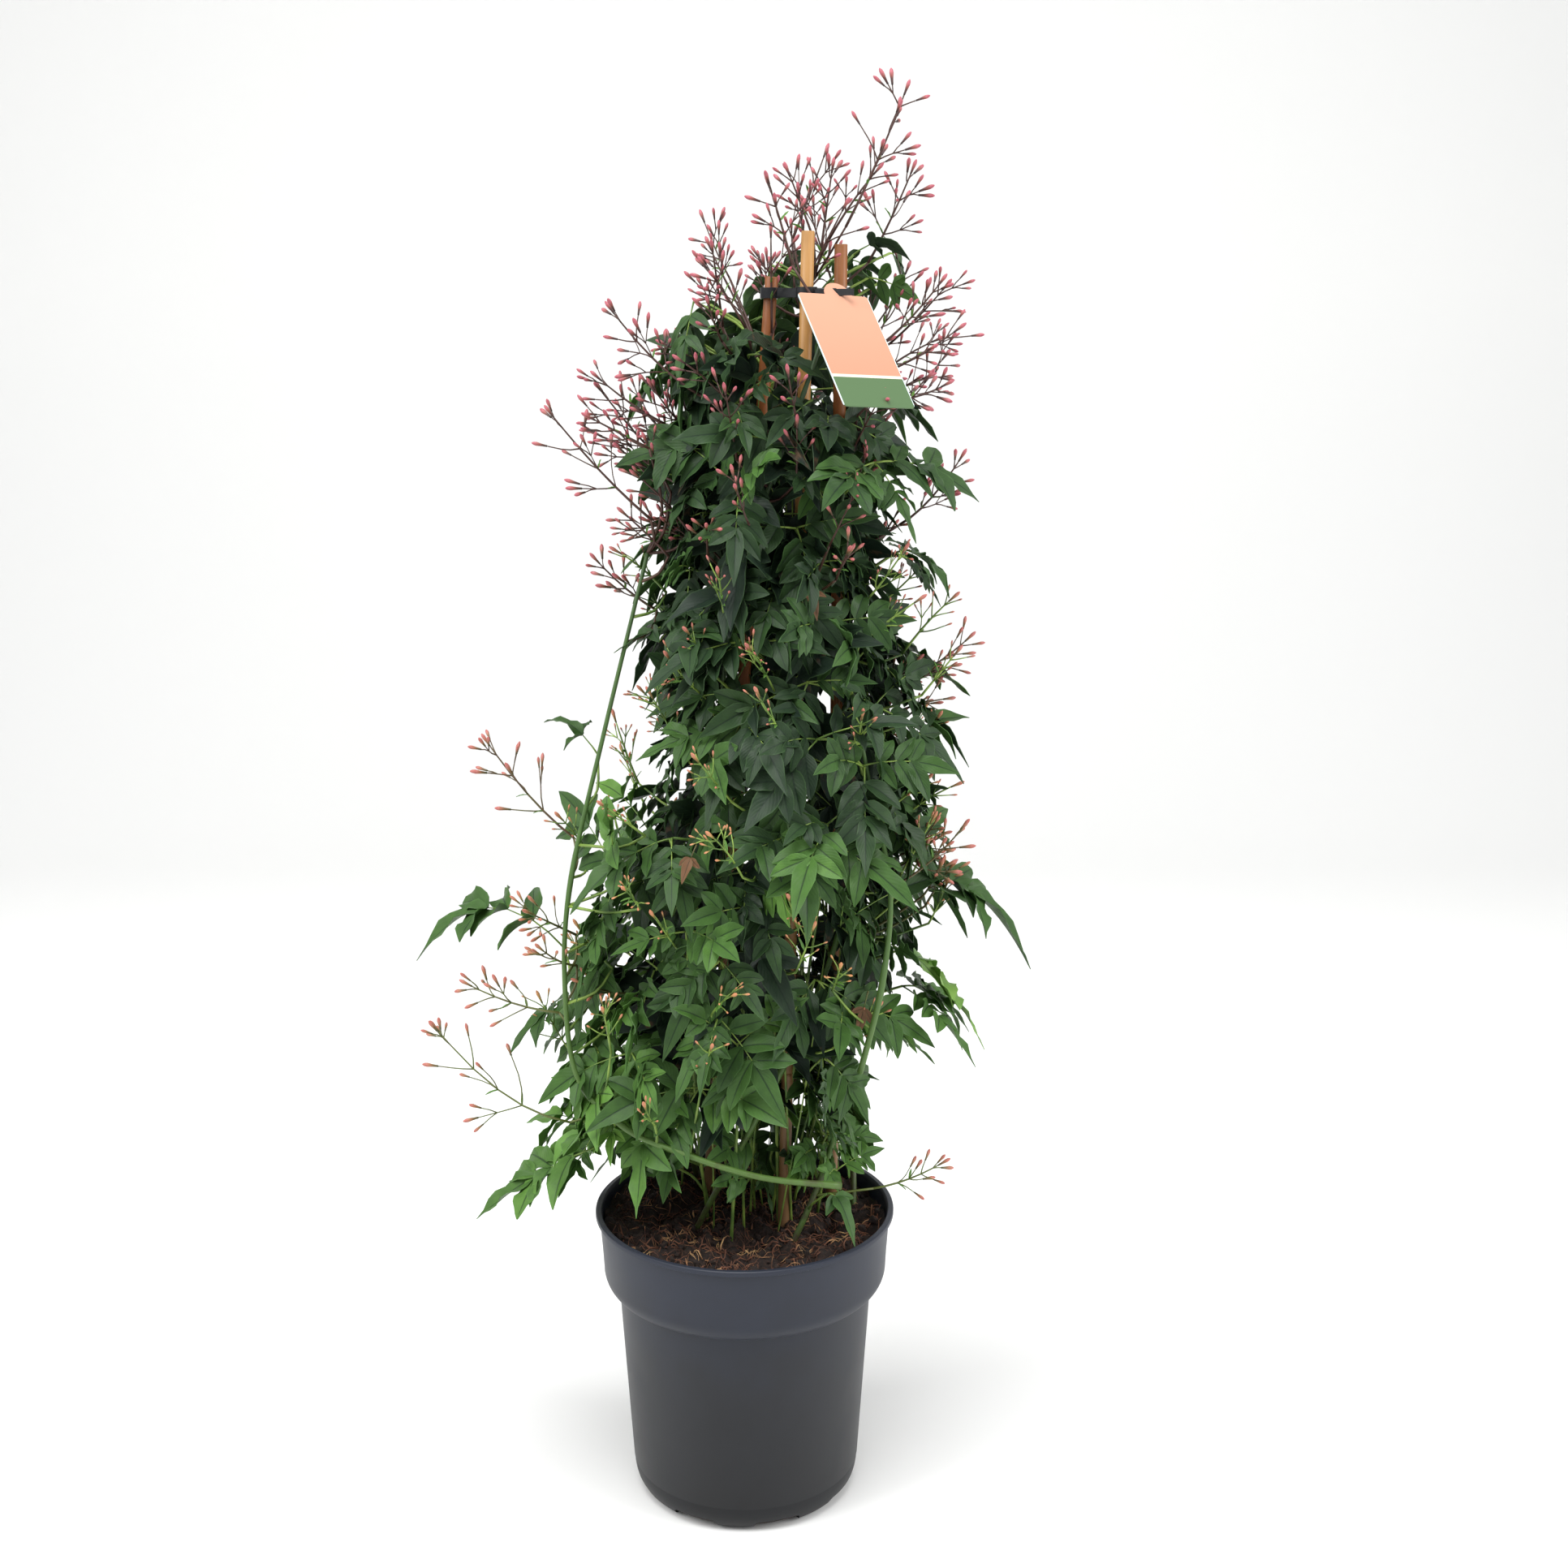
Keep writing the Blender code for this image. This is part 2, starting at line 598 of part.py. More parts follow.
def grow_leaf(bm, face, arch, slim):
    """A compound leaf: a stalk with pairs of leaflets and a long one at its tip."""
    length = arch.span.length
    reach = LEAFLET_REACH * length
    half = reach * LEAFLET_SLIM * slim / 2
    sag = UP * reach * LEAFLET_SAG
    lines = leaflet_lines(arch)
    for part in LEAFLETS_AT:
        heading = arch.heading(part)
        across = arch.across(part)
        for end in (-LEAF_NODE / 2, LEAF_NODE / 2):
            face = push(bm, face, arch.at(part) + heading * end, heading, across, STALK, BLADE)
        for _, hand, aim in [line for line in lines if line[0] == part]:
            blade = side_face(face, across * hand)
            edge = (heading - aim * heading.dot(aim)) * hand
            blade = push(bm, blade, arch.at(part) + aim * reach * 0.42, aim, edge, half, BLADE)
            push(bm, blade, arch.at(part) + aim * reach - sag, aim, edge, TIP, TIP)
    half = (1 - TERMINAL_FROM) * length * TERMINAL_SLIM * slim / 2
    for part, width in ((TERMINAL_FROM + 0.16, 1.0), (TERMINAL_FROM + 0.34, 0.62)):
        face = push(bm, face, arch.at(part), arch.heading(part), arch.across(part),
                    half * width, BLADE)
    push(bm, face, arch.at(1), arch.heading(1), arch.across(1), TIP, TIP)


def grow_bud(bm, face, start, aim, stalk, size):
    """A bud on its stalk: widest near its tip, pointed at the end."""
    across = aim.cross(UP + Vector((0.1, 0.2, 0)))
    length = BUD_LENGTH * size
    face = push(bm, face, start + aim * stalk, aim, across, 0.0006, 0.0006)
    face = push(bm, face, start + aim * (stalk + length * 0.62), aim, across,
                BUD_RADIUS, BUD_RADIUS)
    push(bm, face, start + aim * (stalk + length), aim, across, TIP, TIP)


def outer_arch(base, tip, rise, rng, attempt):
    """The line of a piece outside the crown, moved a little at each new attempt."""
    spread = NUDGE * attempt
    base, tip = (Vector(point) + Vector([rng.uniform(-spread, spread) for _ in range(3)])
                 for point in (base, tip))
    out = (base - trunk(base.z)) * Vector((1, 1, 0))
    return Arch(base, tip, rise, out.normalized())


def single_leaf(number, attempt, base, tip, rise):
    """One leaf on its own stalk."""
    rng = random.Random(7000 + 100 * number + attempt)
    arch = outer_arch(base, tip, rise, rng, attempt)
    bm = bmesh.new()
    face = seed(bm, arch.base, arch.heading(0), arch.across(0), STALK, 0.002)
    grow_leaf(bm, face, arch, rng.uniform(0.95, 1.15))
    return bm


def plan_spray(number, attempt, base, tip, rise):
    """A spray's line, and for each bud its place on it, its side, direction, stalk and size."""
    rng = random.Random(5000 + 100 * number + attempt)
    arch = outer_arch(base, tip, rise, rng, attempt)
    buds = []
    for step in range(SPRAY_NODES):
        part = 0.34 + 0.52 * step / (SPRAY_NODES - 1)
        heading = arch.heading(part)
        across = arch.across(part)
        plane = across if step % 2 == 0 else heading.cross(across)
        for hand in (-1, 1):
            opening = math.radians(rng.uniform(36, 54))
            aim = heading * math.cos(opening) + plane * hand * math.sin(opening)
            stalk = arch.span.length * (0.30 - 0.05 * step) * rng.uniform(0.75, 1.15)
            buds.append((part, plane * hand, aim, stalk, rng.uniform(0.85, 1.15)))
    return arch, buds


def flower_spray(number, attempt, base, tip, rise):
    """A branching stalk that carries buds in crossed pairs and one at its tip."""
    arch, buds = plan_spray(number, attempt, base, tip, rise)
    bm = bmesh.new()
    face = seed(bm, arch.base, arch.heading(0), arch.across(0), SPRAY_STALK, 0.002)
    for part in sorted({bud[0] for bud in buds}):
        heading = arch.heading(part)
        for end in (-0.0013, 0.0013):
            face = push(bm, face, arch.at(part) + heading * end, heading, arch.across(part),
                        SPRAY_STALK, SPRAY_STALK)
        for _, side, aim, stalk, size in [bud for bud in buds if bud[0] == part]:
            grow_bud(bm, side_face(face, side), arch.at(part), aim, stalk, size)
    grow_bud(bm, face, arch.at(0.9), arch.heading(1), arch.span.length * 0.1, 1.0)
    return bm


def crown(height):
    """How far the leaves reach from the middle at a height."""
    for (low, narrow), (high, wide) in zip(CROWN, CROWN[1:]):
        if height <= high:
            return narrow + (wide - narrow) * (height - low) / (high - low)
    return CROWN[-1][1]


def plan_shoot(number, attempt):
    """Where a side shoot leaves its stem and forks, its left side, and the lines of its leaves."""
    rng = random.Random(100 * number + attempt)
    wide = 0.006 + 0.0010 * attempt
    height = FIRST_SHOOT + (LAST_SHOOT - FIRST_SHOOT) * number / (SHOOTS - 1)
    height += rng.uniform(-wide, wide)
    turn = vine_turn((2 * number + attempt // STEM_ATTEMPTS) % VINES, height)
    out = bearing(turn)
    left = bearing(turn + math.pi / 2)
    start = trunk(height) + out * (vine_ring(height) + VINE_RADIUS + 0.004)
    reach = crown(height) - vine_ring(height)
    lean = rng.uniform(-0.1, 0.1)
    fork = start + out * reach * 0.35 + UP * rng.uniform(0.010, 0.022) + left * reach * lean
    leaves = []
    for hand in (-1, 1):
        aside = left * hand * rng.uniform(0.055, 0.080)
        tip = fork + out * reach * rng.uniform(0.35, 0.65) + aside
        tip -= UP * rng.uniform(0.015, 0.055)
        leaves.append((Arch(fork, tip, rng.uniform(0.004, 0.012), out), rng.uniform(0.85, 1.05)))
    tip = fork + out * reach * rng.uniform(0.50, 0.75) + left * rng.uniform(-0.02, 0.02)
    tip -= UP * rng.uniform(0.030, 0.070)
    leaves.append((Arch(fork, tip, rng.uniform(0.006, 0.014), out), rng.uniform(0.85, 1.05)))
    return start, fork, left, leaves


def leafy_shoot(number, attempt):
    """A side shoot from a twining stem: an opposite pair of leaves and one more at its end."""
    start, fork, left, leaves = plan_shoot(number, attempt)
    stem = (fork - start).normalized()
    bm = bmesh.new()
    face = seed(bm, start, stem, left, STALK, 0.002)
    for end in (-STALK * 1.5, STALK * 1.5):
        face = push(bm, face, fork + stem * end, stem, left, STALK, STALK)
    right_leaf, left_leaf, end_leaf = leaves
    for hand, leaf in ((-1, right_leaf), (1, left_leaf)):
        grow_leaf(bm, side_face(face, left * hand), *leaf)
    grow_leaf(bm, face, *end_leaf)
    return bm


def crosses_itself(bm):
    """Whether faces that share no corner run through each other."""
    bm.faces.index_update()
    bm.faces.ensure_lookup_table()
    tree = BVHTree.FromBMesh(bm)
    return any(first < second and not set(bm.faces[first].verts) & set(bm.faces[second].verts)
               for first, second in tree.overlap(tree))


def settle(name, finish, placed, grow):
    """Grows a piece again, a little differently, until it clears everything placed before it."""
    for attempt in range(ATTEMPTS):
        bm = grow(attempt)
        bmesh.ops.triangulate(bm, faces=bm.faces)
        tree = BVHTree.FromBMesh(bm, epsilon=GAP)
        if not crosses_itself(bm) and not any(tree.overlap(other) for other in placed):
            placed.append(tree)
            return add_bmesh(name, bm, finish)
        bm.free()
    raise ValueError(f"there is no room for {name}")


def build_growth(placed):
    """Long leaves and sprays first, then the leafy shoots between them."""
    for number, (name, line) in enumerate(OUTER_LEAVES.items()):
        finish = material(name, 0.035, 0.12, 0.045, 0.45)
        settle(name, finish, placed, lambda attempt: single_leaf(number, attempt, *line))
    for number, (name, line) in enumerate(SPRAYS.items()):
        finish = material(name, 0.42, 0.13, 0.12, 0.5)
        settle(name, finish, placed, lambda attempt: flower_spray(number, attempt, *line))
    for number in range(SHOOTS):
        name = f"leafy_shoot_{number + 1:02d}"
        finish = material(name, 0.025, 0.085, 0.04, 0.45)
        settle(name, finish, placed, lambda attempt: leafy_shoot(number, attempt))


pot = build_pot()
canes, cane_sockets = build_canes()
stems, stem_pockets = build_stems()
soil = build_soil([*cane_sockets, stem_pockets])
clip = build_clip()
label = build_label()
bpy.context.view_layer.update()
build_growth([evaluated_bvh(piece) for piece in (pot, *canes, *stems, soil, clip, label)])
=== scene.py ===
import math
import random

import bmesh
import bpy
from mathutils import Matrix, Vector, noise


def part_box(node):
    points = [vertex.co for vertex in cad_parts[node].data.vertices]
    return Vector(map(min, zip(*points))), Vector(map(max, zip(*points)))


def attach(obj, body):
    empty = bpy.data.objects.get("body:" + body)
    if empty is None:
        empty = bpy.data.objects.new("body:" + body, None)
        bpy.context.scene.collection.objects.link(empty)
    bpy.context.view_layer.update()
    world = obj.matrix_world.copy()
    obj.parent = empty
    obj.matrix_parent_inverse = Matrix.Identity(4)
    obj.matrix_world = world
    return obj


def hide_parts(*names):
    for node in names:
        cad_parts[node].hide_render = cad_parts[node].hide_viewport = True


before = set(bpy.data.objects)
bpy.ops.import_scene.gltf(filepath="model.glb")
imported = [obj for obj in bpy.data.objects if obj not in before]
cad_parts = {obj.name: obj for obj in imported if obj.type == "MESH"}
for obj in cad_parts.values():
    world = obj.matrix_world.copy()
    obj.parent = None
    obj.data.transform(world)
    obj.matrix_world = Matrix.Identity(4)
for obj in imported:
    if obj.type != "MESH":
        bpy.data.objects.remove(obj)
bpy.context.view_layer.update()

UP = Vector((0, 0, 1))


# ---- Studio -------------------------------------------------------------------------------------
# A pale floor that runs up into a pale backdrop, soft lamps on both sides of the camera, and a
# camera a little above the middle of the plant that looks slightly down.

def linear(hex_colour):
    """An sRGB hex colour as linear RGBA."""
    parts = [int(hex_colour[i:i + 2], 16) / 255 for i in (1, 3, 5)]
    return (*[c / 12.92 if c < 0.04045 else ((c + 0.055) / 1.055) ** 2.4 for c in parts], 1.0)


def add_node(material, kind, settings=None, inputs=None, stops=()):
    """One node: its settings, its inputs (values or sockets), and a ramp's stops, end stops first."""
    node = material.node_tree.nodes.new(kind)
    for name, value in (settings or {}).items():
        setattr(node, name, value)
    for number, (position, colour) in enumerate(stops):
        stops_made = node.color_ramp.elements
        stop = stops_made[number] if number < 2 else stops_made.new(position)
        stop.position = position
        stop.color = linear(colour)
    for name, value in (inputs or {}).items():
        if isinstance(value, bpy.types.NodeSocket):
            material.node_tree.links.new(value, node.inputs[name])
        else:
            node.inputs[name].default_value = value
    return node


def principled(name, roughness, ior=1.5, colour="#808080"):
    """A new material and its Principled shader."""
    material = bpy.data.materials.new(name)
    material.use_nodes = True
    shader = material.node_tree.nodes["Principled BSDF"]
    shader.inputs["Base Color"].default_value = linear(colour)
    shader.inputs["Roughness"].default_value = roughness
    shader.inputs["IOR"].default_value = ior
    return material, shader


def link(material, output, socket):
    material.node_tree.links.new(output, socket)


def add_object(name, data, *materials):
    """Puts mesh or curve data into the scene at the origin."""
    for material in materials:
        data.materials.append(material)
    made = bpy.data.objects.new(name, data)
    bpy.context.scene.collection.objects.link(made)
    return made


def from_bmesh(name, bm, *materials, sharp=35):
    """Turns a bmesh into a smooth-shaded object with sharp edges past an angle."""
    mesh = bpy.data.meshes.new(name)
    bm.to_mesh(mesh)
    bm.free()
    mesh.shade_smooth()
    mesh.set_sharp_from_angle(angle=math.radians(sharp))
    return add_object(name, mesh, *materials)


paint = principled("matt_studio_paint", roughness=0.9, colour="#f4f4f2")[0]
bm = bmesh.new()
bmesh.ops.create_grid(bm, x_segments=1, y_segments=1, size=4)
bmesh.ops.translate(bm, verts=bm.verts, vec=(0, -1.2, 0))
back_edge = [edge for edge in bm.edges if all(vert.co.y > 2 for vert in edge.verts)]
lifted = bmesh.ops.extrude_edge_only(bm, edges=back_edge)["geom"]
bmesh.ops.translate(bm, verts=[v for v in lifted if isinstance(v, bmesh.types.BMVert)], vec=(0, 0, 4))
corner = [edge for edge in bm.edges if all(vert.co.y > 2 and vert.co.z < 1 for vert in edge.verts)]
bmesh.ops.bevel(bm, geom=corner, offset=1.0, segments=16, affect="EDGES", profile=0.5, material=-1)
floor = from_bmesh("studio_floor", bm, paint, sharp=60)


def area_lamp(name, place, target, size, watts):
    """A square soft lamp aimed at a point."""
    lamp = bpy.data.lights.new(name, "AREA")
    lamp.size = size
    lamp.energy = watts
    made = bpy.data.objects.new(name, lamp)
    made.location = place
    made.rotation_euler = (Vector(target) - Vector(place)).to_track_quat("-Z", "Y").to_euler()
    bpy.context.scene.collection.objects.link(made)


area_lamp("key_lamp", (-1.9, -0.9, 1.9), (0, 0, 0.5), 1.2, 38)
area_lamp("fill_lamp", (2.0, -0.7, 1.4), (0, 0, 0.5), 1.2, 34)
area_lamp("top_lamp", (-0.2, -0.7, 2.7), (0, 0, 0.5), 1.4, 48)
world = bpy.data.worlds.new("soft_room")
world.use_nodes = True
room = world.node_tree.nodes["Background"]
room.inputs["Color"].default_value = linear("#fbfcff")
# The room is seen white, and lights the plant less than it is seen
seen = add_node(world, "ShaderNodeLightPath").outputs["Is Camera Ray"]
dim = add_node(world, "ShaderNodeMapRange", inputs={"Value": seen, "To Min": 0.52, "To Max": 1.0})
link(world, dim.outputs["Result"], room.inputs["Strength"])
bpy.context.scene.world = world
bpy.context.scene.view_settings.view_transform = "Standard"

CAMERA_HEIGHT = 0.888
CAMERA_BACK = 1.407
CAMERA_SIDE = 0.0304
lens = bpy.data.cameras.new("camera")
lens.lens = 45.04
lens.sensor_width = 36
camera = bpy.data.objects.new("camera", lens)
camera.location = (CAMERA_SIDE, -CAMERA_BACK, CAMERA_HEIGHT)
camera.rotation_euler = (math.radians(90 - 13.0), 0, 0)
bpy.context.scene.collection.objects.link(camera)
bpy.context.scene.camera = camera


# ---- Nursery pot --------------------------------------------------------------------------------
# Injection-moulded polypropylene, slate grey, in one piece: a thin lip, a collar, a rounded
# shoulder to a tapered body, and a foot with drain slots.  The surface is faintly grained.

POT_HEIGHT = 0.230
RIM_RADIUS = 0.115
LIP_HEIGHT = 0.0040
WALL = 0.0022
COLLAR_TOP_RADIUS = 0.1120
COLLAR_FOOT_RADIUS = 0.1092
COLLAR_FOOT = 0.1835
SHOULDER_DROP = 0.0145
BODY_TOP_RADIUS = 0.0983
BODY_FOOT_RADIUS = 0.0884
FOOT_HEIGHT = 0.0215
BASE_RADIUS = 0.0775
FLOOR = 0.0030
DRAIN_SLOTS = 8
SLOT_TURN = 0.40
SLOT_WIDTH = 0.036
SLOT_HEIGHT = 0.0085
ROUND_STEPS = 128

plastic, shader = principled("moulded_polypropylene", roughness=0.42, ior=1.36)
place = add_node(plastic, "ShaderNodeTexCoord").outputs["Object"]
# Dust and scuffs 20 to 60 mm across, and a moulding grain of about 1 mm that dulls the shine
scuffs = add_node(plastic, "ShaderNodeTexNoise", inputs={"Vector": place, "Scale": 24, "Detail": 6})
height = add_node(plastic, "ShaderNodeSeparateXYZ", inputs={"Vector": place}).outputs["Z"]
# Darker towards the foot and lighter at the collar, mottled a little by the scuffs
foot_to_collar = add_node(plastic, "ShaderNodeMath", {"operation": "MULTIPLY_ADD"},
                 {0: scuffs.outputs["Fac"], 1: 0.10, 2: height})
shade = add_node(plastic, "ShaderNodeValToRGB", inputs={"Fac": foot_to_collar.outputs["Value"]},
                 stops=((0.05, "#0d0e11"), (0.26, "#292d38"), (0.17, "#202227")))
link(plastic, shade.outputs["Color"], shader.inputs["Base Color"])
grain = add_node(plastic, "ShaderNodeTexNoise", inputs={"Vector": place, "Scale": 900, "Detail": 2})
relief = add_node(plastic, "ShaderNodeBump",
                  inputs={"Height": grain.outputs["Fac"], "Strength": 0.12, "Distance": 0.0003})
link(plastic, relief.outputs["Normal"], shader.inputs["Normal"])
rub = add_node(plastic, "ShaderNodeMapRange",
               inputs={"Value": scuffs.outputs["Fac"], "To Min": 0.36, "To Max": 0.52})
link(plastic, rub.outputs["Result"], shader.inputs["Roughness"])


def quarter(radius_in, radius_out, top, bottom, steps):
    """A quarter turn that starts upright at its wide top and runs in to its narrow bottom."""
    angles = [math.pi / 2 * step / steps for step in range(steps + 1)]
    return [(radius_in + (radius_out - radius_in) * math.cos(a), top + (bottom - top) * math.sin(a))
            for a in angles]


def turned(profile, steps=ROUND_STEPS):
    """A bmesh turned about Z from a profile of (radius, height) points."""
    bm = bmesh.new()
    corners = [bm.verts.new((radius, 0, height)) for radius, height in profile]
    edges = [bm.edges.new(pair) for pair in zip(corners, corners[1:])]
    bmesh.ops.spin(bm, geom=corners + edges, cent=(0, 0, 0), axis=UP, angle=2 * math.pi,
                   steps=steps, use_merge=True)
    bmesh.ops.remove_doubles(bm, verts=bm.verts, dist=0.00002)
    bmesh.ops.recalc_face_normals(bm, faces=bm.faces)
    return bm


wall = [(COLLAR_TOP_RADIUS, POT_HEIGHT - LIP_HEIGHT)]
wall += [(COLLAR_FOOT_RADIUS + 0.0006, COLLAR_FOOT + 0.012)]
wall += quarter(BODY_TOP_RADIUS, COLLAR_FOOT_RADIUS, COLLAR_FOOT, COLLAR_FOOT - SHOULDER_DROP, 10)
wall += [(BODY_TOP_RADIUS - 0.0006, COLLAR_FOOT - SHOULDER_DROP - 0.004)]
body_foot = [(BODY_FOOT_RADIUS + 0.0002, FOOT_HEIGHT + 0.0012), (BODY_FOOT_RADIUS - 0.0003, FOOT_HEIGHT)]
foot = quarter(BASE_RADIUS, BODY_FOOT_RADIUS - 0.0003, FOOT_HEIGHT - 0.0006, 0.0012, 8)
inside = [(radius - WALL, height) for radius, height in reversed(wall + body_foot + foot[:-2])]
lip_in = COLLAR_TOP_RADIUS - WALL
lip = [(lip_in + 0.0006, POT_HEIGHT - 0.0008), (lip_in + 0.0014, POT_HEIGHT),
       (RIM_RADIUS - 0.0010, POT_HEIGHT), (RIM_RADIUS - 0.0002, POT_HEIGHT - 0.0006),
       (RIM_RADIUS, POT_HEIGHT - 0.0014), (RIM_RADIUS, POT_HEIGHT - LIP_HEIGHT + 0.0004),
       (RIM_RADIUS - 0.0006, POT_HEIGHT - LIP_HEIGHT)]
base_rings = [(BASE_RADIUS - 0.0012, 0.0), (0.062, 0.0), (0.0615, 0.0012), (0.058, 0.0012),
              (0.0575, 0.0), (0.012, 0.0), (0.0115, 0.0008), (0, 0.0008)]
floor_inside = [(0, FLOOR), (BASE_RADIUS - WALL - 0.003, FLOOR), (BASE_RADIUS - WALL, FLOOR + 0.002)]
bm = turned(floor_inside + inside + lip + wall + body_foot + foot + base_rings)
pot = from_bmesh("pot_moulding", bm, plastic)

bm = bmesh.new()
for slot in range(DRAIN_SLOTS):
    turn = Matrix.Rotation(2 * math.pi * (slot + SLOT_TURN) / DRAIN_SLOTS - math.pi / 2, 4, "Z")
    box = turn @ Matrix.Translation((BASE_RADIUS + 0.004, 0, 0))
    box = box @ Matrix.Diagonal((0.026, SLOT_WIDTH, 2 * SLOT_HEIGHT, 1))
    made = bmesh.ops.create_cube(bm, size=1, matrix=box)["verts"]
    upright = turn @ Vector((1, 0, 0))
    top_ends = [edge for edge in bm.edges if set(edge.verts) <= set(made)
                and abs((edge.verts[0].co - edge.verts[1].co).normalized().dot(upright)) > 0.9]
    bmesh.ops.bevel(bm, geom=top_ends, offset=0.004, segments=4, affect="EDGES", profile=0.5,
                    material=-1)
slots = from_bmesh("slot_cutter", bm)


def cut(piece, operation, tool):
    """Applies a Boolean with another object, which is then removed."""
    step = piece.modifiers.new("cut", "BOOLEAN")
    step.operation = operation
    step.object = tool
    step.solver = "EXACT"
    bpy.context.view_layer.update()
    made = piece.evaluated_get(bpy.context.evaluated_depsgraph_get())
    mesh = bpy.data.meshes.new_from_object(made)
    piece.modifiers.clear()
    piece.data = mesh
    bpy.data.objects.remove(tool)


cut(pot, "DIFFERENCE", slots)
pot.data.shade_smooth()
pot.data.set_sharp_from_angle(angle=math.radians(35))
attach(pot, "root")
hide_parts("pot")


# ---- Peat ---------------------------------------------------------------------------------------
# Moist peat with bark and coir, pressed into the pot by hand.  The surface is lumpy, with loose
# crumbs and reddish-brown fibres.

SOIL_LEVEL = 0.2165
PEAT_CRUMBS = 420
COIR_FIBRES = 1000


def peat_height(x, y):
    """The lumpy top of the peat, highest round the stems and banked up at the back and left."""
    lumps = 0.0022 * math.sin(61 * x + 1.0) * math.cos(53 * y + 0.4)
    lumps += 0.0012 * math.sin(131 * x - 97 * y)
    mound = 0.0030 * math.exp(-((x - 0.02) ** 2 + (y - 0.03) ** 2) / 0.0030)
    bank = 0.0060 * max(0, (0.6 * y - 0.8 * x) / RIM_RADIUS) ** 1.5
    return SOIL_LEVEL + lumps + mound + bank


def crumbly(x, y):
    """Peat height with crumbs of 3 to 12 mm."""
    spot = Vector((x, y, 0))
    return (peat_height(x, y) + 0.0065 * noise.noise(spot * 70) + 0.0045 * noise.noise(spot * 160)
            + 0.0024 * noise.noise(spot * 420))


peat, shader = principled("moist_peat", roughness=0.95)
place = add_node(peat, "ShaderNodeTexCoord").outputs["Object"]
flecks = add_node(peat, "ShaderNodeTexNoise",
                  inputs={"Vector": place, "Scale": 260, "Detail": 8, "Roughness": 0.7})
shade = add_node(peat, "ShaderNodeValToRGB", inputs={"Fac": flecks.outputs["Fac"]},
                 stops=((0.35, "#17120f"), (0.72, "#4a352a"), (0.52, "#2a1e19")))
link(peat, shade.outputs["Color"], shader.inputs["Base Color"])
relief = add_node(peat, "ShaderNodeBump",
                  inputs={"Height": flecks.outputs["Fac"], "Strength": 0.9, "Distance": 0.002})
link(peat, relief.outputs["Normal"], shader.inputs["Normal"])

PEAT_RADIUS = COLLAR_TOP_RADIUS - WALL - 0.0014
side = [(radius - 0.0004, height) for radius, height in reversed(inside) if height < SOIL_LEVEL - 0.002]
rings = 46
top = [(PEAT_RADIUS * ring / rings, SOIL_LEVEL) for ring in range(rings)]
under = [(BASE_RADIUS - 0.008, FLOOR + 0.0004), (0, FLOOR + 0.0004)]
bm = turned(top + [(PEAT_RADIUS, SOIL_LEVEL)] + side[:-1] + under, 150)
for vert in bm.verts:
    if vert.co.z > SOIL_LEVEL - 0.0001:
        vert.co.z = crumbly(vert.co.x, vert.co.y)
soil = from_bmesh("peat_filling", bm, peat, sharp=60)
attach(soil, "root")
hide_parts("soil")


def in_pot(rng, edge=0.0):
    """A random spot on the peat."""
    turn = rng.uniform(0, 2 * math.pi)
    reach = (PEAT_RADIUS - edge) * math.sqrt(rng.uniform(0, 1))
    return reach * math.cos(turn), reach * math.sin(turn)


rng = random.Random(11)
bm = bmesh.new()
for _ in range(PEAT_CRUMBS):
    x, y = in_pot(rng, 0.006)
    size = rng.uniform(0.0012, 0.0045)
    turn = Matrix.Rotation(rng.uniform(0, 6), 4, Vector((rng.random(), rng.random(), rng.random())))
    stretch = Matrix.Diagonal((size, size * rng.uniform(0.5, 1), size * rng.uniform(0.4, 0.8), 1))
    spot = Matrix.Translation((x, y, crumbly(x, y) + size * 0.2))
    made = bmesh.ops.create_icosphere(bm, subdivisions=1, radius=1, matrix=spot @ turn @ stretch)
    for vert in made["verts"]:
        vert.co += noise.noise_vector(vert.co * 700) * size * 0.45
crumbs = from_bmesh("peat_crumbs", bm, peat, sharp=30)
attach(crumbs, "root")

fibre, shader = principled("coir_fibre", roughness=0.8)
place = add_node(fibre, "ShaderNodeTexCoord").outputs["Object"]
patches = add_node(fibre, "ShaderNodeTexNoise", inputs={"Vector": place, "Scale": 60, "Detail": 2})
shade = add_node(fibre, "ShaderNodeValToRGB", inputs={"Fac": patches.outputs["Fac"]},
                 stops=((0.36, "#3f271c"), (0.70, "#c79f6e"), (0.55, "#7a4e38")))
link(fibre, shade.outputs["Color"], shader.inputs["Base Color"])


def thread_curve(name, sides=0):
    """A curve object whose splines become thin round threads."""
    curve = bpy.data.curves.new(name, "CURVE")
    curve.dimensions = "3D"
    curve.bevel_depth = 1
    curve.bevel_resolution = sides
    curve.use_fill_caps = True
    return curve


def add_thread(curve, points, radii):
    """One more thread through points."""
    spline = curve.splines.new("POLY")
    spline.points.add(len(points) - 1)
    for point, place, radius in zip(spline.points, points, radii):
        point.co = (*place, 1)
        point.radius = radius


def curve_mesh(curve):
    """The mesh of a curve, with its caps welded on."""
    holder = bpy.data.objects.new("holder", curve)
    bpy.context.scene.collection.objects.link(holder)
    bpy.context.view_layer.update()
    made = holder.evaluated_get(bpy.context.evaluated_depsgraph_get())
    mesh = bpy.data.meshes.new_from_object(made)
    bpy.data.objects.remove(holder)
    bm = bmesh.new()
    bm.from_mesh(mesh)
    bmesh.ops.remove_doubles(bm, verts=bm.verts, dist=0.000001)
    bm.to_mesh(mesh)
    bm.free()
    return mesh


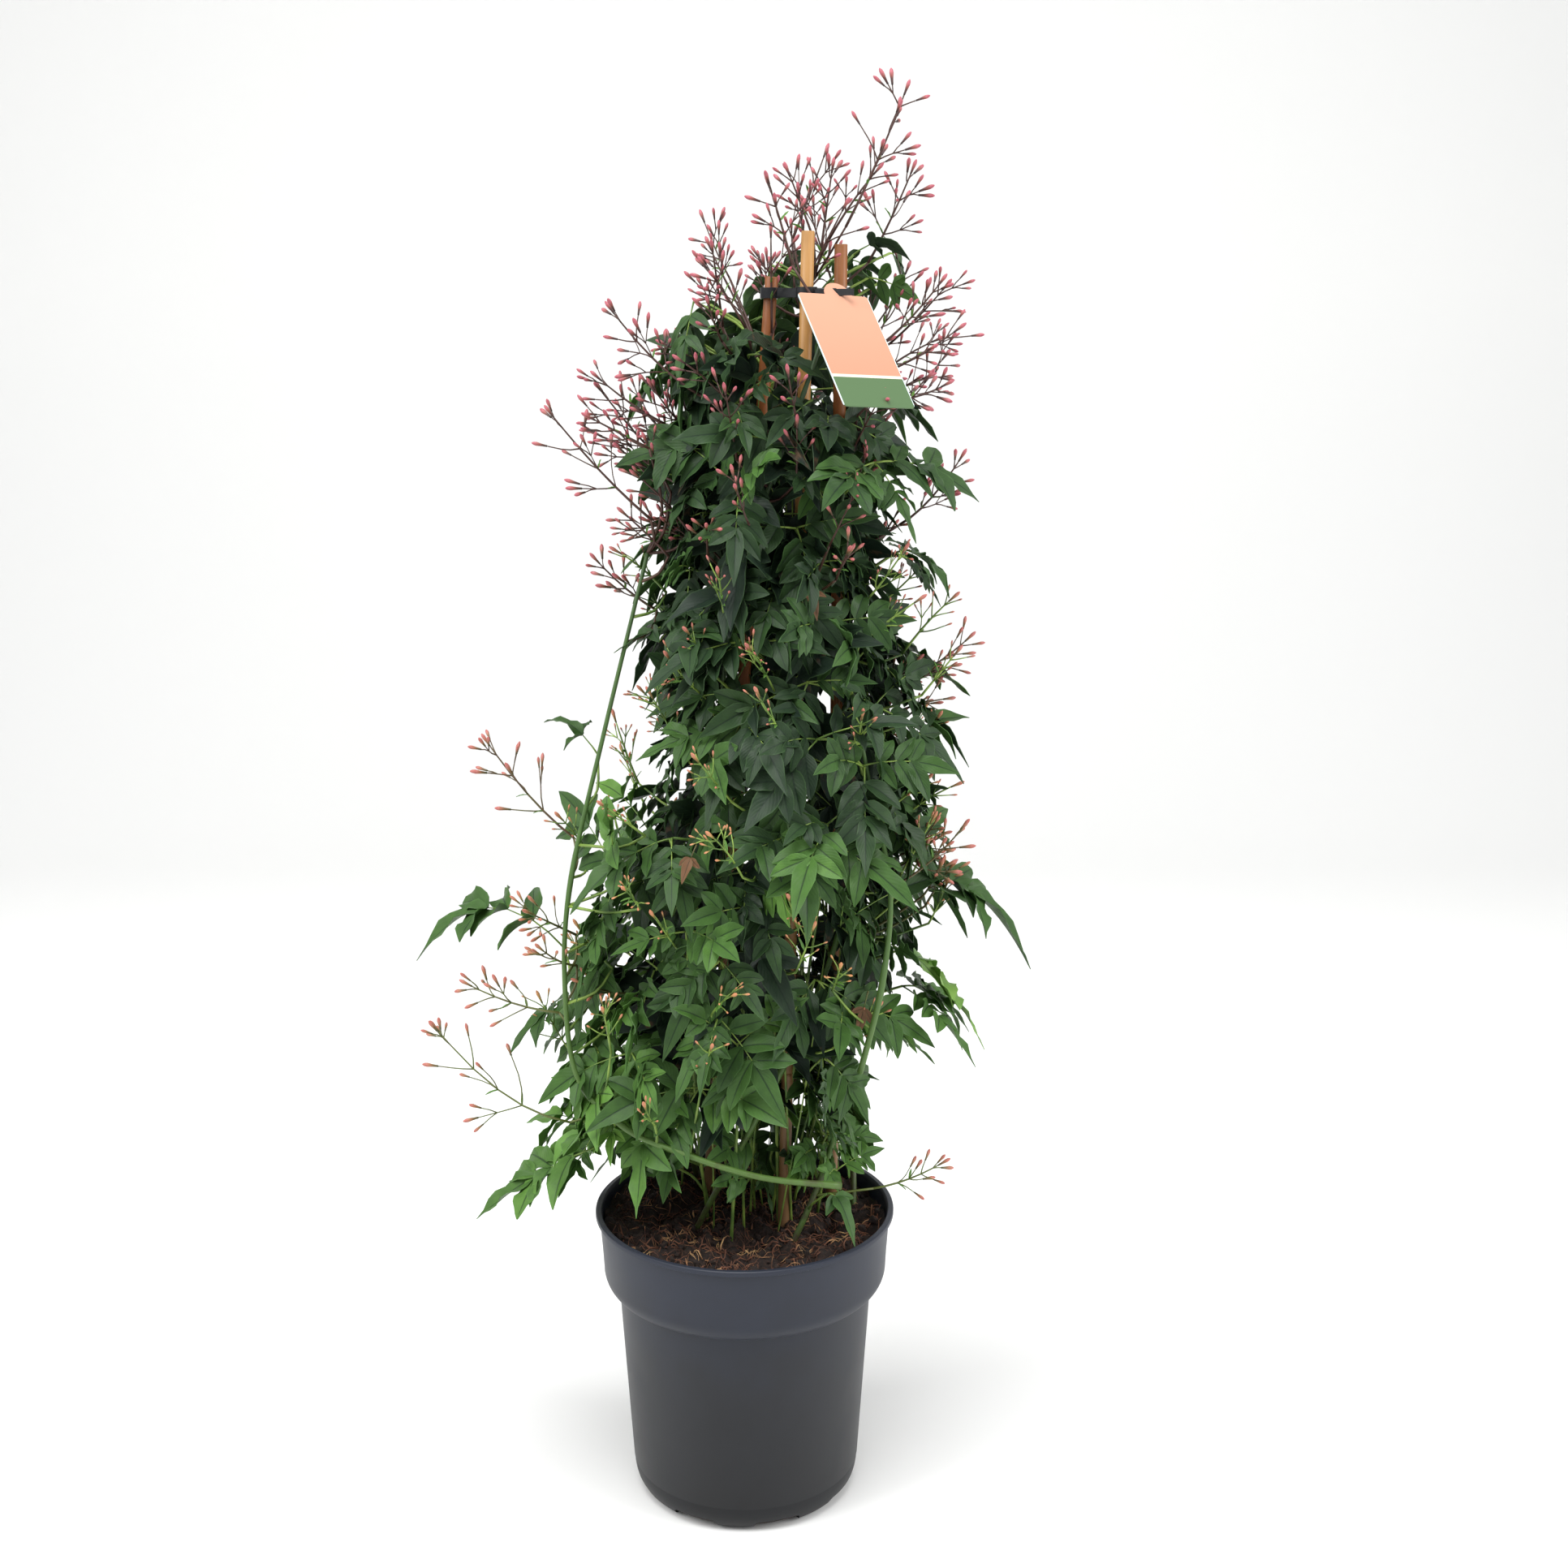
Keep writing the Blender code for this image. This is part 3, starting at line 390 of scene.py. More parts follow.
curve = thread_curve("fibres")
for _ in range(COIR_FIBRES):
    x, y = in_pot(rng, 0.004)
    turn = rng.uniform(0, 2 * math.pi)
    bend = rng.uniform(-0.9, 0.9)
    length = rng.uniform(0.006, 0.026)
    points = []
    for step in range(6):
        x += math.cos(turn) * length / 5
        y += math.sin(turn) * length / 5
        turn += bend * 0.5
        hump = 0.0006 + 0.0032 * rng.random() * math.sin(math.pi * step / 5)
        if math.hypot(x, y) < PEAT_RADIUS - 0.002:
            points.append((x, y, crumbly(x, y) + hump))
    if len(points) > 2:
        thick = rng.choice((0.0002, 0.0003, 0.0004, 0.0007)) * rng.uniform(0.8, 1.1)
        add_thread(curve, points, [thick * (1 - 0.12 * step) for step in range(len(points))])
mesh = curve_mesh(curve)
mesh.shade_smooth()
fibres = add_object("coir_fibres", mesh, fibre)
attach(fibres, "root")


# ---- Bamboo canes -------------------------------------------------------------------------------
# Three thin culms of tonkin bamboo, sawn to length.  They are straw-coloured where they are dry and
# darken to red-brown near the wet peat, with a low ring at each joint.

CANE_RADIUS = 0.0046
CANE_FOOT = 0.040
CLIP_HEIGHT = 0.914
CANES = {
    "cane_front": ((0.030, -0.010), (0.046, -0.010), 0.955, "#b4854b"),
    "cane_right": ((0.068, 0.030), (0.070, 0.009), 0.947, "#8f582c"),
    "cane_left": ((-0.030, 0.050), (0.021, 0.009), 0.925, "#96592c"),
}
CANE_JOINTS = (0.16, 0.33, 0.52, 0.70, 0.84)


def bamboo_material(name, dry):
    """Dry straw above, darker and mottled below, with fibres drawn out along the cane."""
    bamboo, shader = principled(name, roughness=0.45, ior=1.5)
    place = add_node(bamboo, "ShaderNodeTexCoord").outputs["Object"]
    height = add_node(bamboo, "ShaderNodeSeparateXYZ", inputs={"Vector": place}).outputs["Z"]
    # Fibres 0.6 mm wide and about 20 mm long
    drawn = add_node(bamboo, "ShaderNodeMapping", inputs={"Vector": place, "Scale": (1600, 1600, 45)})
    fibres = add_node(bamboo, "ShaderNodeTexNoise", inputs={"Vector": drawn.outputs["Vector"], "Scale": 1.0})
    blotch = add_node(bamboo, "ShaderNodeTexNoise", inputs={"Vector": place, "Scale": 70, "Detail": 4})
    damp = add_node(bamboo, "ShaderNodeMapRange",
                    inputs={"Value": height, "From Min": 0.22, "From Max": 0.78})
    mixed = add_node(bamboo, "ShaderNodeMath", {"operation": "MULTIPLY_ADD"},
                     {0: blotch.outputs["Fac"], 1: 0.55, 2: damp.outputs["Result"]})
    shade = add_node(bamboo, "ShaderNodeValToRGB", inputs={"Fac": mixed.outputs["Value"]},
                     stops=((0.12, "#86684a"), (0.95, dry), (0.5, "#977046")))
    tone = add_node(bamboo, "ShaderNodeValToRGB", inputs={"Fac": fibres.outputs["Fac"]},
                    stops=((0.0, "#8a7a66"), (0.7, "#ffffff")))
    streaks = add_node(bamboo, "ShaderNodeMix", {"data_type": "RGBA", "blend_type": "MULTIPLY"},
                       {"Factor": 0.35, "A": shade.outputs["Color"], "B": tone.outputs["Color"]})
    link(bamboo, streaks.outputs["Result"], shader.inputs["Base Color"])
    relief = add_node(bamboo, "ShaderNodeBump",
                      inputs={"Height": fibres.outputs["Fac"], "Strength": 0.25, "Distance": 0.0003})
    link(bamboo, relief.outputs["Normal"], shader.inputs["Normal"])
    return bamboo


for number, (name, (foot_at, top_at, cane_top, dry)) in enumerate(CANES.items()):
    low = Vector((*foot_at, SOIL_LEVEL))
    aim = (Vector((*top_at, CLIP_HEIGHT)) - low).normalized()
    start = low + aim * ((CANE_FOOT - SOIL_LEVEL) / aim.z)
    length = (cane_top - CANE_FOOT) / aim.z
    radius = CANE_RADIUS
    profile = [(0, length - 0.004), (radius * 0.30, length - 0.003), (radius * 0.34, length),
               (radius - 0.0004, length), (radius, length - 0.0005)]
    for joint in reversed(CANE_JOINTS):
        ring = joint * length + 0.012 * number
        profile += [(radius * 0.985, ring + 0.012), (radius, ring + 0.0032), (radius + 0.0003, ring + 0.0012),
                    (radius - 0.0003, ring), (radius + 0.0003, ring - 0.0010), (radius, ring - 0.003)]
    profile += [(radius, 0), (0, 0)]
    bm = turned(profile, 24)
    bm.transform(Matrix.Translation(start) @ aim.to_track_quat("Z", "Y").to_matrix().to_4x4())
    cane = from_bmesh(name + "_bamboo", bm, bamboo_material(name + "_skin", dry), sharp=50)
    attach(cane, "root")
    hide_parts(name)


# ---- Cane clip ----------------------------------------------------------------------------------
# A black nylon clip moulded in one piece: a sleeve on each cane, webs between them, and a tongue
# that the label hangs on.

CLIP_DEPTH = 0.0075
SLEEVE_WALL = 0.0020
TONGUE_FOOT = Vector((0.050, -0.0135, CLIP_HEIGHT))
TONGUE_TIP = Vector((0.078, -0.026, CLIP_HEIGHT))

nylon, shader = principled("black_nylon", roughness=0.3, ior=1.53, colour="#14171b")
place = add_node(nylon, "ShaderNodeTexCoord").outputs["Object"]
wear = add_node(nylon, "ShaderNodeTexNoise", inputs={"Vector": place, "Scale": 300, "Detail": 3})
rub = add_node(nylon, "ShaderNodeMapRange",
               inputs={"Value": wear.outputs["Fac"], "To Min": 0.22, "To Max": 0.5})
link(nylon, rub.outputs["Result"], shader.inputs["Roughness"])


def clip_point(name):
    return Vector((*CANES[name][1], CLIP_HEIGHT))


def cylinder(centre, radius, depth, segments=40):
    bm = bmesh.new()
    bmesh.ops.create_cone(bm, cap_ends=True, segments=segments, radius1=radius, radius2=radius,
                          depth=depth, matrix=Matrix.Translation(centre))
    return bm


def bar(start, end, width, depth):
    """A flat bar between two points."""
    run = end - start
    turn = Matrix.Rotation(math.atan2(run.y, run.x), 4, "Z")
    size = Matrix.Diagonal((run.length, width, depth, 1))
    bm = bmesh.new()
    bmesh.ops.create_cube(bm, size=1, matrix=Matrix.Translation((start + end) / 2) @ turn @ size)
    return bm


sleeve = CANE_RADIUS + 0.0008 + SLEEVE_WALL
clip = from_bmesh("cane_clip_moulding", cylinder(clip_point("cane_front"), sleeve, CLIP_DEPTH), nylon)
for name in ("cane_left", "cane_right"):
    cut(clip, "UNION", from_bmesh("sleeve", cylinder(clip_point(name), sleeve, CLIP_DEPTH * 0.98)))
    cut(clip, "UNION", from_bmesh("web", bar(clip_point("cane_front"), clip_point(name), 0.0042,
                                             CLIP_DEPTH * 0.86)))
cut(clip, "UNION", from_bmesh("tongue", bar(TONGUE_FOOT, TONGUE_TIP, 0.0016, CLIP_DEPTH * 0.6)))
for name in CANES:
    cut(clip, "DIFFERENCE", from_bmesh("hole", cylinder(clip_point(name), CANE_RADIUS + 0.0003, 0.03)))
edges = clip.modifiers.new("moulded_edges", "BEVEL")
edges.width = 0.0005
edges.segments = 3
edges.limit_method = "ANGLE"
edges.angle_limit = math.radians(50)
clip.data.shade_smooth()
clip.data.set_sharp_from_angle(angle=math.radians(40))
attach(clip, "root")
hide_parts("cane_clip")


# ---- Hang label ---------------------------------------------------------------------------------
# Printed polypropylene card, die-cut with a round tab and a slot.  The print is a plain warm ground
# with one straight green band across its foot, and has no lettering.

LABEL_WIDTH = 0.057
LABEL_HEIGHT = 0.098
across = Vector((0.854, 0.520, -0.047)).normalized()
down = Vector((0.313, -0.583, -0.748))
down = (down - across * down.dot(across)).normalized()
hang = TONGUE_FOOT + (TONGUE_TIP - TONGUE_FOOT) * 0.6
top_middle = hang - across * 0.005 + down * 0.003

card, shader = principled("printed_card", roughness=0.32, ior=1.49)
place = add_node(card, "ShaderNodeTexCoord").outputs["Object"]
local = add_node(card, "ShaderNodeVectorMath", {"operation": "SUBTRACT"}, {0: place, 1: top_middle})
wide = add_node(card, "ShaderNodeVectorMath", {"operation": "DOT_PRODUCT"},
                {0: local.outputs["Vector"], 1: across / LABEL_WIDTH})
tall = add_node(card, "ShaderNodeVectorMath", {"operation": "DOT_PRODUCT"},
                {0: local.outputs["Vector"], 1: down / LABEL_HEIGHT})
ground = add_node(card, "ShaderNodeValToRGB", inputs={"Fac": tall.outputs["Value"]},
                  stops=((0.0, "#cb977d"), (1.0, "#c0876d")))
# A thin cream line, and the green band below it
colour = ground.outputs["Color"]
for top, ink in ((0.72, "#d8d2c0"), (0.745, "#536d49")):
    below = add_node(card, "ShaderNodeMath", {"operation": "GREATER_THAN"},
                     {0: tall.outputs["Value"], 1: top})
    colour = add_node(card, "ShaderNodeMix", {"data_type": "RGBA"},
                      {"Factor": below.outputs["Value"], "A": colour, "B": linear(ink)}).outputs["Result"]
from_middle = add_node(card, "ShaderNodeMath", {"operation": "ABSOLUTE"}, {0: wide.outputs["Value"]})
rim = add_node(card, "ShaderNodeMath", {"operation": "GREATER_THAN"},
               {0: from_middle.outputs["Value"], 1: 0.490})
colour = add_node(card, "ShaderNodeMix", {"data_type": "RGBA"},
                  {"Factor": rim.outputs["Value"], "A": colour, "B": linear("#cfdcdc")})
link(card, colour.outputs["Result"], shader.inputs["Base Color"])
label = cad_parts["label"]
label.data.materials.clear()
label.data.materials.append(card)


# ---- Growth -------------------------------------------------------------------------------------
# The plant is one climbing jasmine.  Its stems twine round the canes; each leaf is feathered, with
# pairs of leaflets and a long one at its end, and flower buds stand on branching sprays.

TRUNK_FOOT = Vector((0.018, 0.026, SOIL_LEVEL))
TRUNK_TOP = Vector((0.046, 0.002, CLIP_HEIGHT))
VINES = 5
VINE_FOOT_RING = 0.067
VINE_TOP_RING = 0.039
VINE_RADIUS = 0.0024
VINE_TWIST = 7.5
VINE_STEPS = 26
VINE_TOPS = (0.90, 0.86, 0.92, 0.84, 0.88)
LOOSE_STEMS = {
    "stem_trailing": ((-0.066, -0.020, 0.735), (-0.077, -0.030, 0.691), (-0.098, -0.040, 0.608),
                      (-0.123, -0.045, 0.504), (-0.129, -0.050, 0.430), (-0.121, -0.055, 0.355),
                      (-0.084, -0.072, 0.322), (-0.038, -0.086, 0.307), (0.015, -0.090, 0.292),
                      (0.072, -0.080, 0.281)),
    "stem_right": ((0.078, -0.055, 0.640), (0.092, -0.060, 0.571), (0.106, -0.064, 0.501),
                   (0.101, -0.064, 0.430), (0.086, -0.058, 0.360)),
}
LOOSE_RADIUS = 0.0022


def trunk(height):
    """The middle of the tripod at a height."""
    part = (height - TRUNK_FOOT.z) / (TRUNK_TOP.z - TRUNK_FOOT.z)
    return TRUNK_FOOT.lerp(TRUNK_TOP, part)


def vine_ring(height):
    """How far the twining stems run from the middle of the tripod."""
    part = (height - TRUNK_FOOT.z) / (TRUNK_TOP.z - TRUNK_FOOT.z)
    return VINE_FOOT_RING + (VINE_TOP_RING - VINE_FOOT_RING) * part


def vine_turn(number, height):
    """The bearing of one twining stem at a height."""
    return 2 * math.pi * number / VINES + VINE_TWIST * (height - SOIL_LEVEL)


def bearing(turn):
    return Vector((math.cos(turn), math.sin(turn), 0))


def smooth_path(points, steps):
    """Points on the smooth curve that passes through the given ones."""
    ends = [points[0] * 2 - points[1], *points, points[-1] * 2 - points[-2]]
    path = []
    for a, b, c, d in zip(ends, ends[1:], ends[2:], ends[3:]):
        for step in range(steps):
            t = step / steps
            path.append(0.5 * (2 * b + (c - a) * t + (2 * a - 5 * b + 4 * c - d) * t ** 2
                               + (3 * b - a - 3 * c + d) * t ** 3))
    return path + [points[-1]]


# ---- Stems --------------------------------------------------------------------------------------
# Green twining stems, woody and brown near the peat, with a slight swelling at each leaf joint, and
# a tuft of thin shoots that rise from the peat between them.

bark, shader = principled("green_stem_bark", roughness=0.5)
place = add_node(bark, "ShaderNodeTexCoord").outputs["Object"]
height = add_node(bark, "ShaderNodeSeparateXYZ", inputs={"Vector": place}).outputs["Z"]
mottle = add_node(bark, "ShaderNodeTexNoise", inputs={"Vector": place, "Scale": 90, "Detail": 4})
age = add_node(bark, "ShaderNodeMath", {"operation": "MULTIPLY_ADD"},
               {0: mottle.outputs["Fac"], 1: 0.35, 2: height})
colour = add_node(bark, "ShaderNodeValToRGB", inputs={"Fac": age.outputs["Value"]},
                  stops=((0.36, "#3f3b24"), (1.0, "#33492a"), (0.46, "#4d6a2c"), (0.70, "#48682f")))
link(bark, colour.outputs["Color"], shader.inputs["Base Color"])
relief = add_node(bark, "ShaderNodeBump",
                  inputs={"Height": mottle.outputs["Fac"], "Strength": 0.3, "Distance": 0.0006})
link(bark, relief.outputs["Normal"], shader.inputs["Normal"])

green_stalk, shader = principled("green_stalk", roughness=0.5)
place = add_node(green_stalk, "ShaderNodeTexCoord").outputs["Object"]
mottle = add_node(green_stalk, "ShaderNodeTexNoise", inputs={"Vector": place, "Scale": 45, "Detail": 2})
shade = add_node(green_stalk, "ShaderNodeValToRGB", inputs={"Fac": mottle.outputs["Fac"]},
                 stops=((0.35, "#4d6b2c"), (0.65, "#8ba64a")))
link(green_stalk, shade.outputs["Color"], shader.inputs["Base Color"])

joints = []


def stem_piece(name, paths, skin, node=None):
    """Round stems along (points, radii) paths as one smooth piece."""
    curve = thread_curve(name, 2)
    for points, radii in paths:
        add_thread(curve, points, radii)
        joints.extend(points[::2])
    mesh = curve_mesh(curve)
    mesh.shade_smooth()
    made = add_object(name, mesh, skin)
    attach(made, "root")
    if node:
        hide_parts(node)


for number in range(VINES):
    foot_height = SOIL_LEVEL - 0.008
    points = []
    for step in range(VINE_STEPS + 1):
        part = step / VINE_STEPS
        height = foot_height + (VINE_TOPS[number] - foot_height) * part
        wander = 1 + 0.04 * math.sin(9 * part + number)
        points.append(trunk(height) + bearing(vine_turn(number, height)) * vine_ring(height) * wander)
    path = smooth_path(points, 5)
    radii = []
    for step in range(len(path)):
        part = step / (len(path) - 1)
        swell = 1 + 0.22 * max(0, math.cos(2 * math.pi * step / 10)) ** 8
        radii.append(VINE_RADIUS * (1 - 0.35 * part) * swell)
    stem_piece(f"twining_stem_{number + 1}", [(path, radii)], bark, f"stem_{number + 1}")
for name, points in LOOSE_STEMS.items():
    path = smooth_path([Vector(point) for point in points], 8)
    radii = [LOOSE_RADIUS * (0.62 + 0.5 * step / len(path)) for step in range(len(path))]
    radii = [radius * (1 + 0.2 * max(0, math.cos(2 * math.pi * step / 24)) ** 8)
             for step, radius in enumerate(radii)]
    stem_piece(name + "_long", [(path, radii)], bark, name)

rng = random.Random(5)
paths = []
for number in range(30):
    turn = rng.uniform(0, 2 * math.pi)
    foot_at = trunk(SOIL_LEVEL) + bearing(turn) * rng.uniform(0.01, 0.075)
    foot_at.z = peat_height(foot_at.x, foot_at.y) - 0.004
    top_height = rng.uniform(0.42, 0.60)
    lean = trunk(top_height) + bearing(turn + rng.uniform(-0.6, 0.6)) * rng.uniform(0.03, 0.075)
    middle = (foot_at + lean) / 2 + bearing(turn) * rng.uniform(0.0, 0.022)
    path = smooth_path([foot_at, middle, lean], 10)
    thick = rng.uniform(0.0007, 0.0014)
    paths.append((path, [thick * (1 - 0.3 * step / len(path)) for step in range(len(path))]))
stem_piece("young_shoots", paths, green_stalk)


# ---- Leaves and buds ----------------------------------------------------------------------------
# Waxy green leaflets, each folded a little along its midrib, with painted shade darkening the crease there,
# drawn out to a point and wavy at its edge, on thin green stalks.  A bud is a slender rose-pink tube on a
# dark foot.

LEAF_THICKNESS = 0.0004
BUD_REACH = 0.013
BUD_LENGTH = 0.0112
LEAFLETS_AT = (0.20, 0.37)
TERMINAL_FROM = 0.50
LEAFLET_REACH = 0.33
LEAFLET_OPEN = math.radians(58)


def tone_of(material):
    """The light or dark tone that each leaflet and bud carries."""
    return add_node(material, "ShaderNodeAttribute", {"attribute_name": "tone"}).outputs["Fac"]


def along_of(material):
    """How far a point is along its leaflet or bud, and how far across."""
    mapped = add_node(material, "ShaderNodeUVMap", {"uv_map": "along"}).outputs["UV"]
    return add_node(material, "ShaderNodeSeparateXYZ", inputs={"Vector": mapped}).outputs


leaf_green, shader = principled("waxy_leaf", roughness=0.5, ior=1.38)
shader.inputs["Specular IOR Level"].default_value = 0.34
place = add_node(leaf_green, "ShaderNodeTexCoord").outputs["Object"]
clouds = add_node(leaf_green, "ShaderNodeTexNoise", inputs={"Vector": place, "Scale": 110, "Detail": 4})
value = add_node(leaf_green, "ShaderNodeMath", {"operation": "MULTIPLY_ADD"},
                 {0: clouds.outputs["Fac"], 1: 0.22, 2: tone_of(leaf_green)})
green = add_node(leaf_green, "ShaderNodeValToRGB", inputs={"Fac": value.outputs["Value"]},
                 stops=((0.0, "#6b4d36"), (1.0, "#93b65c"), (0.06, "#1b2820"), (0.35, "#2d4426"),
                        (0.60, "#46692f"), (0.85, "#6a9640")))
split = along_of(leaf_green)
from_rib = add_node(leaf_green, "ShaderNodeMath", {"operation": "ABSOLUTE"}, {0: split["Y"]}).outputs["Value"]
# Painted shade: a dark line along the midrib, where the fold makes a crease
midrib = add_node(leaf_green, "ShaderNodeMapRange",
                  inputs={"Value": from_rib, "From Min": 0.02, "From Max": 0.12,
                          "To Min": 0.75, "To Max": 0.0})
green = add_node(leaf_green, "ShaderNodeMix", {"data_type": "RGBA"},
                 {"Factor": midrib.outputs["Result"], "A": green.outputs["Color"], "B": linear("#16261a")})
margin = add_node(leaf_green, "ShaderNodeMapRange",
                  inputs={"Value": from_rib, "From Min": 0.88, "To Max": 0.12})
green = add_node(leaf_green, "ShaderNodeMix", {"data_type": "RGBA"},
                 {"Factor": margin.outputs["Result"], "A": green.outputs["Result"], "B": linear("#7fae68")})
link(leaf_green, green.outputs["Result"], shader.inputs["Base Color"])
# Side veins about 4 mm apart, slanting forward from the midrib
slope = add_node(leaf_green, "ShaderNodeMath", {"operation": "MULTIPLY_ADD"},
                 {0: from_rib, 1: -0.35, 2: split["X"]})
turns = add_node(leaf_green, "ShaderNodeMath", {"operation": "MULTIPLY"},
                 {0: slope.outputs["Value"], 1: 56.0})
veins = add_node(leaf_green, "ShaderNodeMath", {"operation": "SINE"}, {0: turns.outputs["Value"]})
relief = add_node(leaf_green, "ShaderNodeBump",
                  inputs={"Height": veins.outputs["Value"], "Strength": 0.10, "Distance": 0.0004})
link(leaf_green, relief.outputs["Normal"], shader.inputs["Normal"])
gloss = add_node(leaf_green, "ShaderNodeMapRange",
                 inputs={"Value": clouds.outputs["Fac"], "To Min": 0.38, "To Max": 0.56})
link(leaf_green, gloss.outputs["Result"], shader.inputs["Roughness"])

petal, shader = principled("pink_bud", roughness=0.45)
place = add_node(petal, "ShaderNodeTexCoord").outputs["Object"]
blush = add_node(petal, "ShaderNodeTexNoise", inputs={"Vector": place, "Scale": 120, "Detail": 2})
part = add_node(petal, "ShaderNodeMath", {"operation": "MULTIPLY_ADD"},
                {0: blush.outputs["Fac"], 1: 0.30, 2: along_of(petal)["X"]}).outputs["Value"]
pinks = add_node(petal, "ShaderNodeValToRGB", inputs={"Fac": part},
                 stops=((0.20, "#2e1e1c"), (1.0, "#a9525f"), (0.50, "#4f2c28"), (0.70, "#94504a"),
                        (0.90, "#b3606a")))
ambers = add_node(petal, "ShaderNodeValToRGB", inputs={"Fac": part},
                  stops=((0.20, "#6f7a35"), (1.0, "#c98a5a"), (0.48, "#a58a4a"), (0.70, "#c99a62")))
ripe = add_node(petal, "ShaderNodeMix", {"data_type": "RGBA"},
                {"Factor": tone_of(petal), "A": pinks.outputs["Color"], "B": ambers.outputs["Color"]})
link(petal, ripe.outputs["Result"], shader.inputs["Base Color"])

brown_stalk, shader = principled("red_brown_stalk", roughness=0.5)
place = add_node(brown_stalk, "ShaderNodeTexCoord").outputs["Object"]
height = add_node(brown_stalk, "ShaderNodeSeparateXYZ", inputs={"Vector": place}).outputs["Z"]
mottle = add_node(brown_stalk, "ShaderNodeTexNoise", inputs={"Vector": place, "Scale": 40, "Detail": 2})
age = add_node(brown_stalk, "ShaderNodeMath", {"operation": "MULTIPLY_ADD"},
               {0: mottle.outputs["Fac"], 1: 0.5, 2: height})
shade = add_node(brown_stalk, "ShaderNodeValToRGB", inputs={"Fac": age.outputs["Value"]},
                 stops=((0.55, "#5d6a2e"), (1.0, "#452a22"), (0.85, "#55402a")))
link(brown_stalk, shade.outputs["Color"], shader.inputs["Base Color"])


def leaf_blank(lengths, widths):
    """A flat leaflet blank, 1 long and 2 wide, mapped along and across, with two faces."""
    bm = bmesh.new()
    bmesh.ops.create_grid(bm, x_segments=lengths, y_segments=widths, size=0.5)
    bmesh.ops.transform(bm, matrix=Matrix.Translation((0.5, 0, 0)) @ Matrix.Diagonal((1, 2, 1, 1)),
                        verts=bm.verts)
    bmesh.ops.solidify(bm, geom=bm.faces[:], thickness=1.0)
    mapped = bm.loops.layers.uv.new("along")
    for face in bm.faces:
        face.smooth = True
        face.material_index = 1
        for loop in face.loops:
            loop[mapped].uv = loop.vert.co.xy

    def on_margin(vert):
        return abs(vert.co.y) > 0.99 or vert.co.x < 0.01 or vert.co.x > 0.99

    for edge in bm.edges:
        on_rib = all(abs(vert.co.y) < 0.01 for vert in edge.verts)
        edge.smooth = not (on_rib or all(on_margin(vert) for vert in edge.verts))
    bm.verts.layers.float.new("tone")
    mesh = bpy.data.meshes.new("leaf_blank")
    bm.to_mesh(mesh)
    heights = [vert.co.z for vert in bm.verts]
    bm.free()
    return mesh, (min(heights) + max(heights)) / 2


def bud_blank(steps):
    """A closed bud one long on Z: a narrow tube that swells to a pointed tip."""
    profile = [(0.0, 0.0), (0.060, 0.02), (0.068, 0.16), (0.080, 0.34), (0.108, 0.55), (0.126, 0.70),
               (0.104, 0.84), (0.055, 0.95), (0.0, 1.0)]
    bm = turned([(radius, part) for radius, part in reversed(profile)], steps)
    mapped = bm.loops.layers.uv.new("along")
    for face in bm.faces:
        face.smooth = True
        face.material_index = 2
        for loop in face.loops:
            loop[mapped].uv = (loop.vert.co.z, 0)
    bm.verts.layers.float.new("tone")
    mesh = bpy.data.meshes.new("bud_blank")
    bm.to_mesh(mesh)
    bm.free()
    return mesh


leaf_mesh, leaf_middle = leaf_blank(8, 4)
bud_mesh = bud_blank(7)


def outline(part, drawn):
    """Half width of a leaflet along its length; the tip is blunt below 1 and drawn out above it."""
    part = min(max(part, 0.012), 0.99)
    widest = 0.6 / (0.6 + drawn)
    return (part / widest) ** 0.6 * ((1 - part) / (1 - widest)) ** drawn


class Arch:
    """A stalk's line from base to tip that rises in an even arch, and the way its leaf faces."""

    def __init__(self, base, tip, rise, out, face=None):
        self.base = base
        self.span = tip - base
        self.rise = rise
        self.face = face or UP * 0.8 + out * 0.6

    def at(self, part):
        return self.base + self.span * part + UP * (4 * self.rise * part * (1 - part))

    def heading(self, part):
        return (self.span + UP * (4 * self.rise * (1 - 2 * part))).normalized()

    def across(self, part):
        return self.heading(part).cross(self.face).normalized()


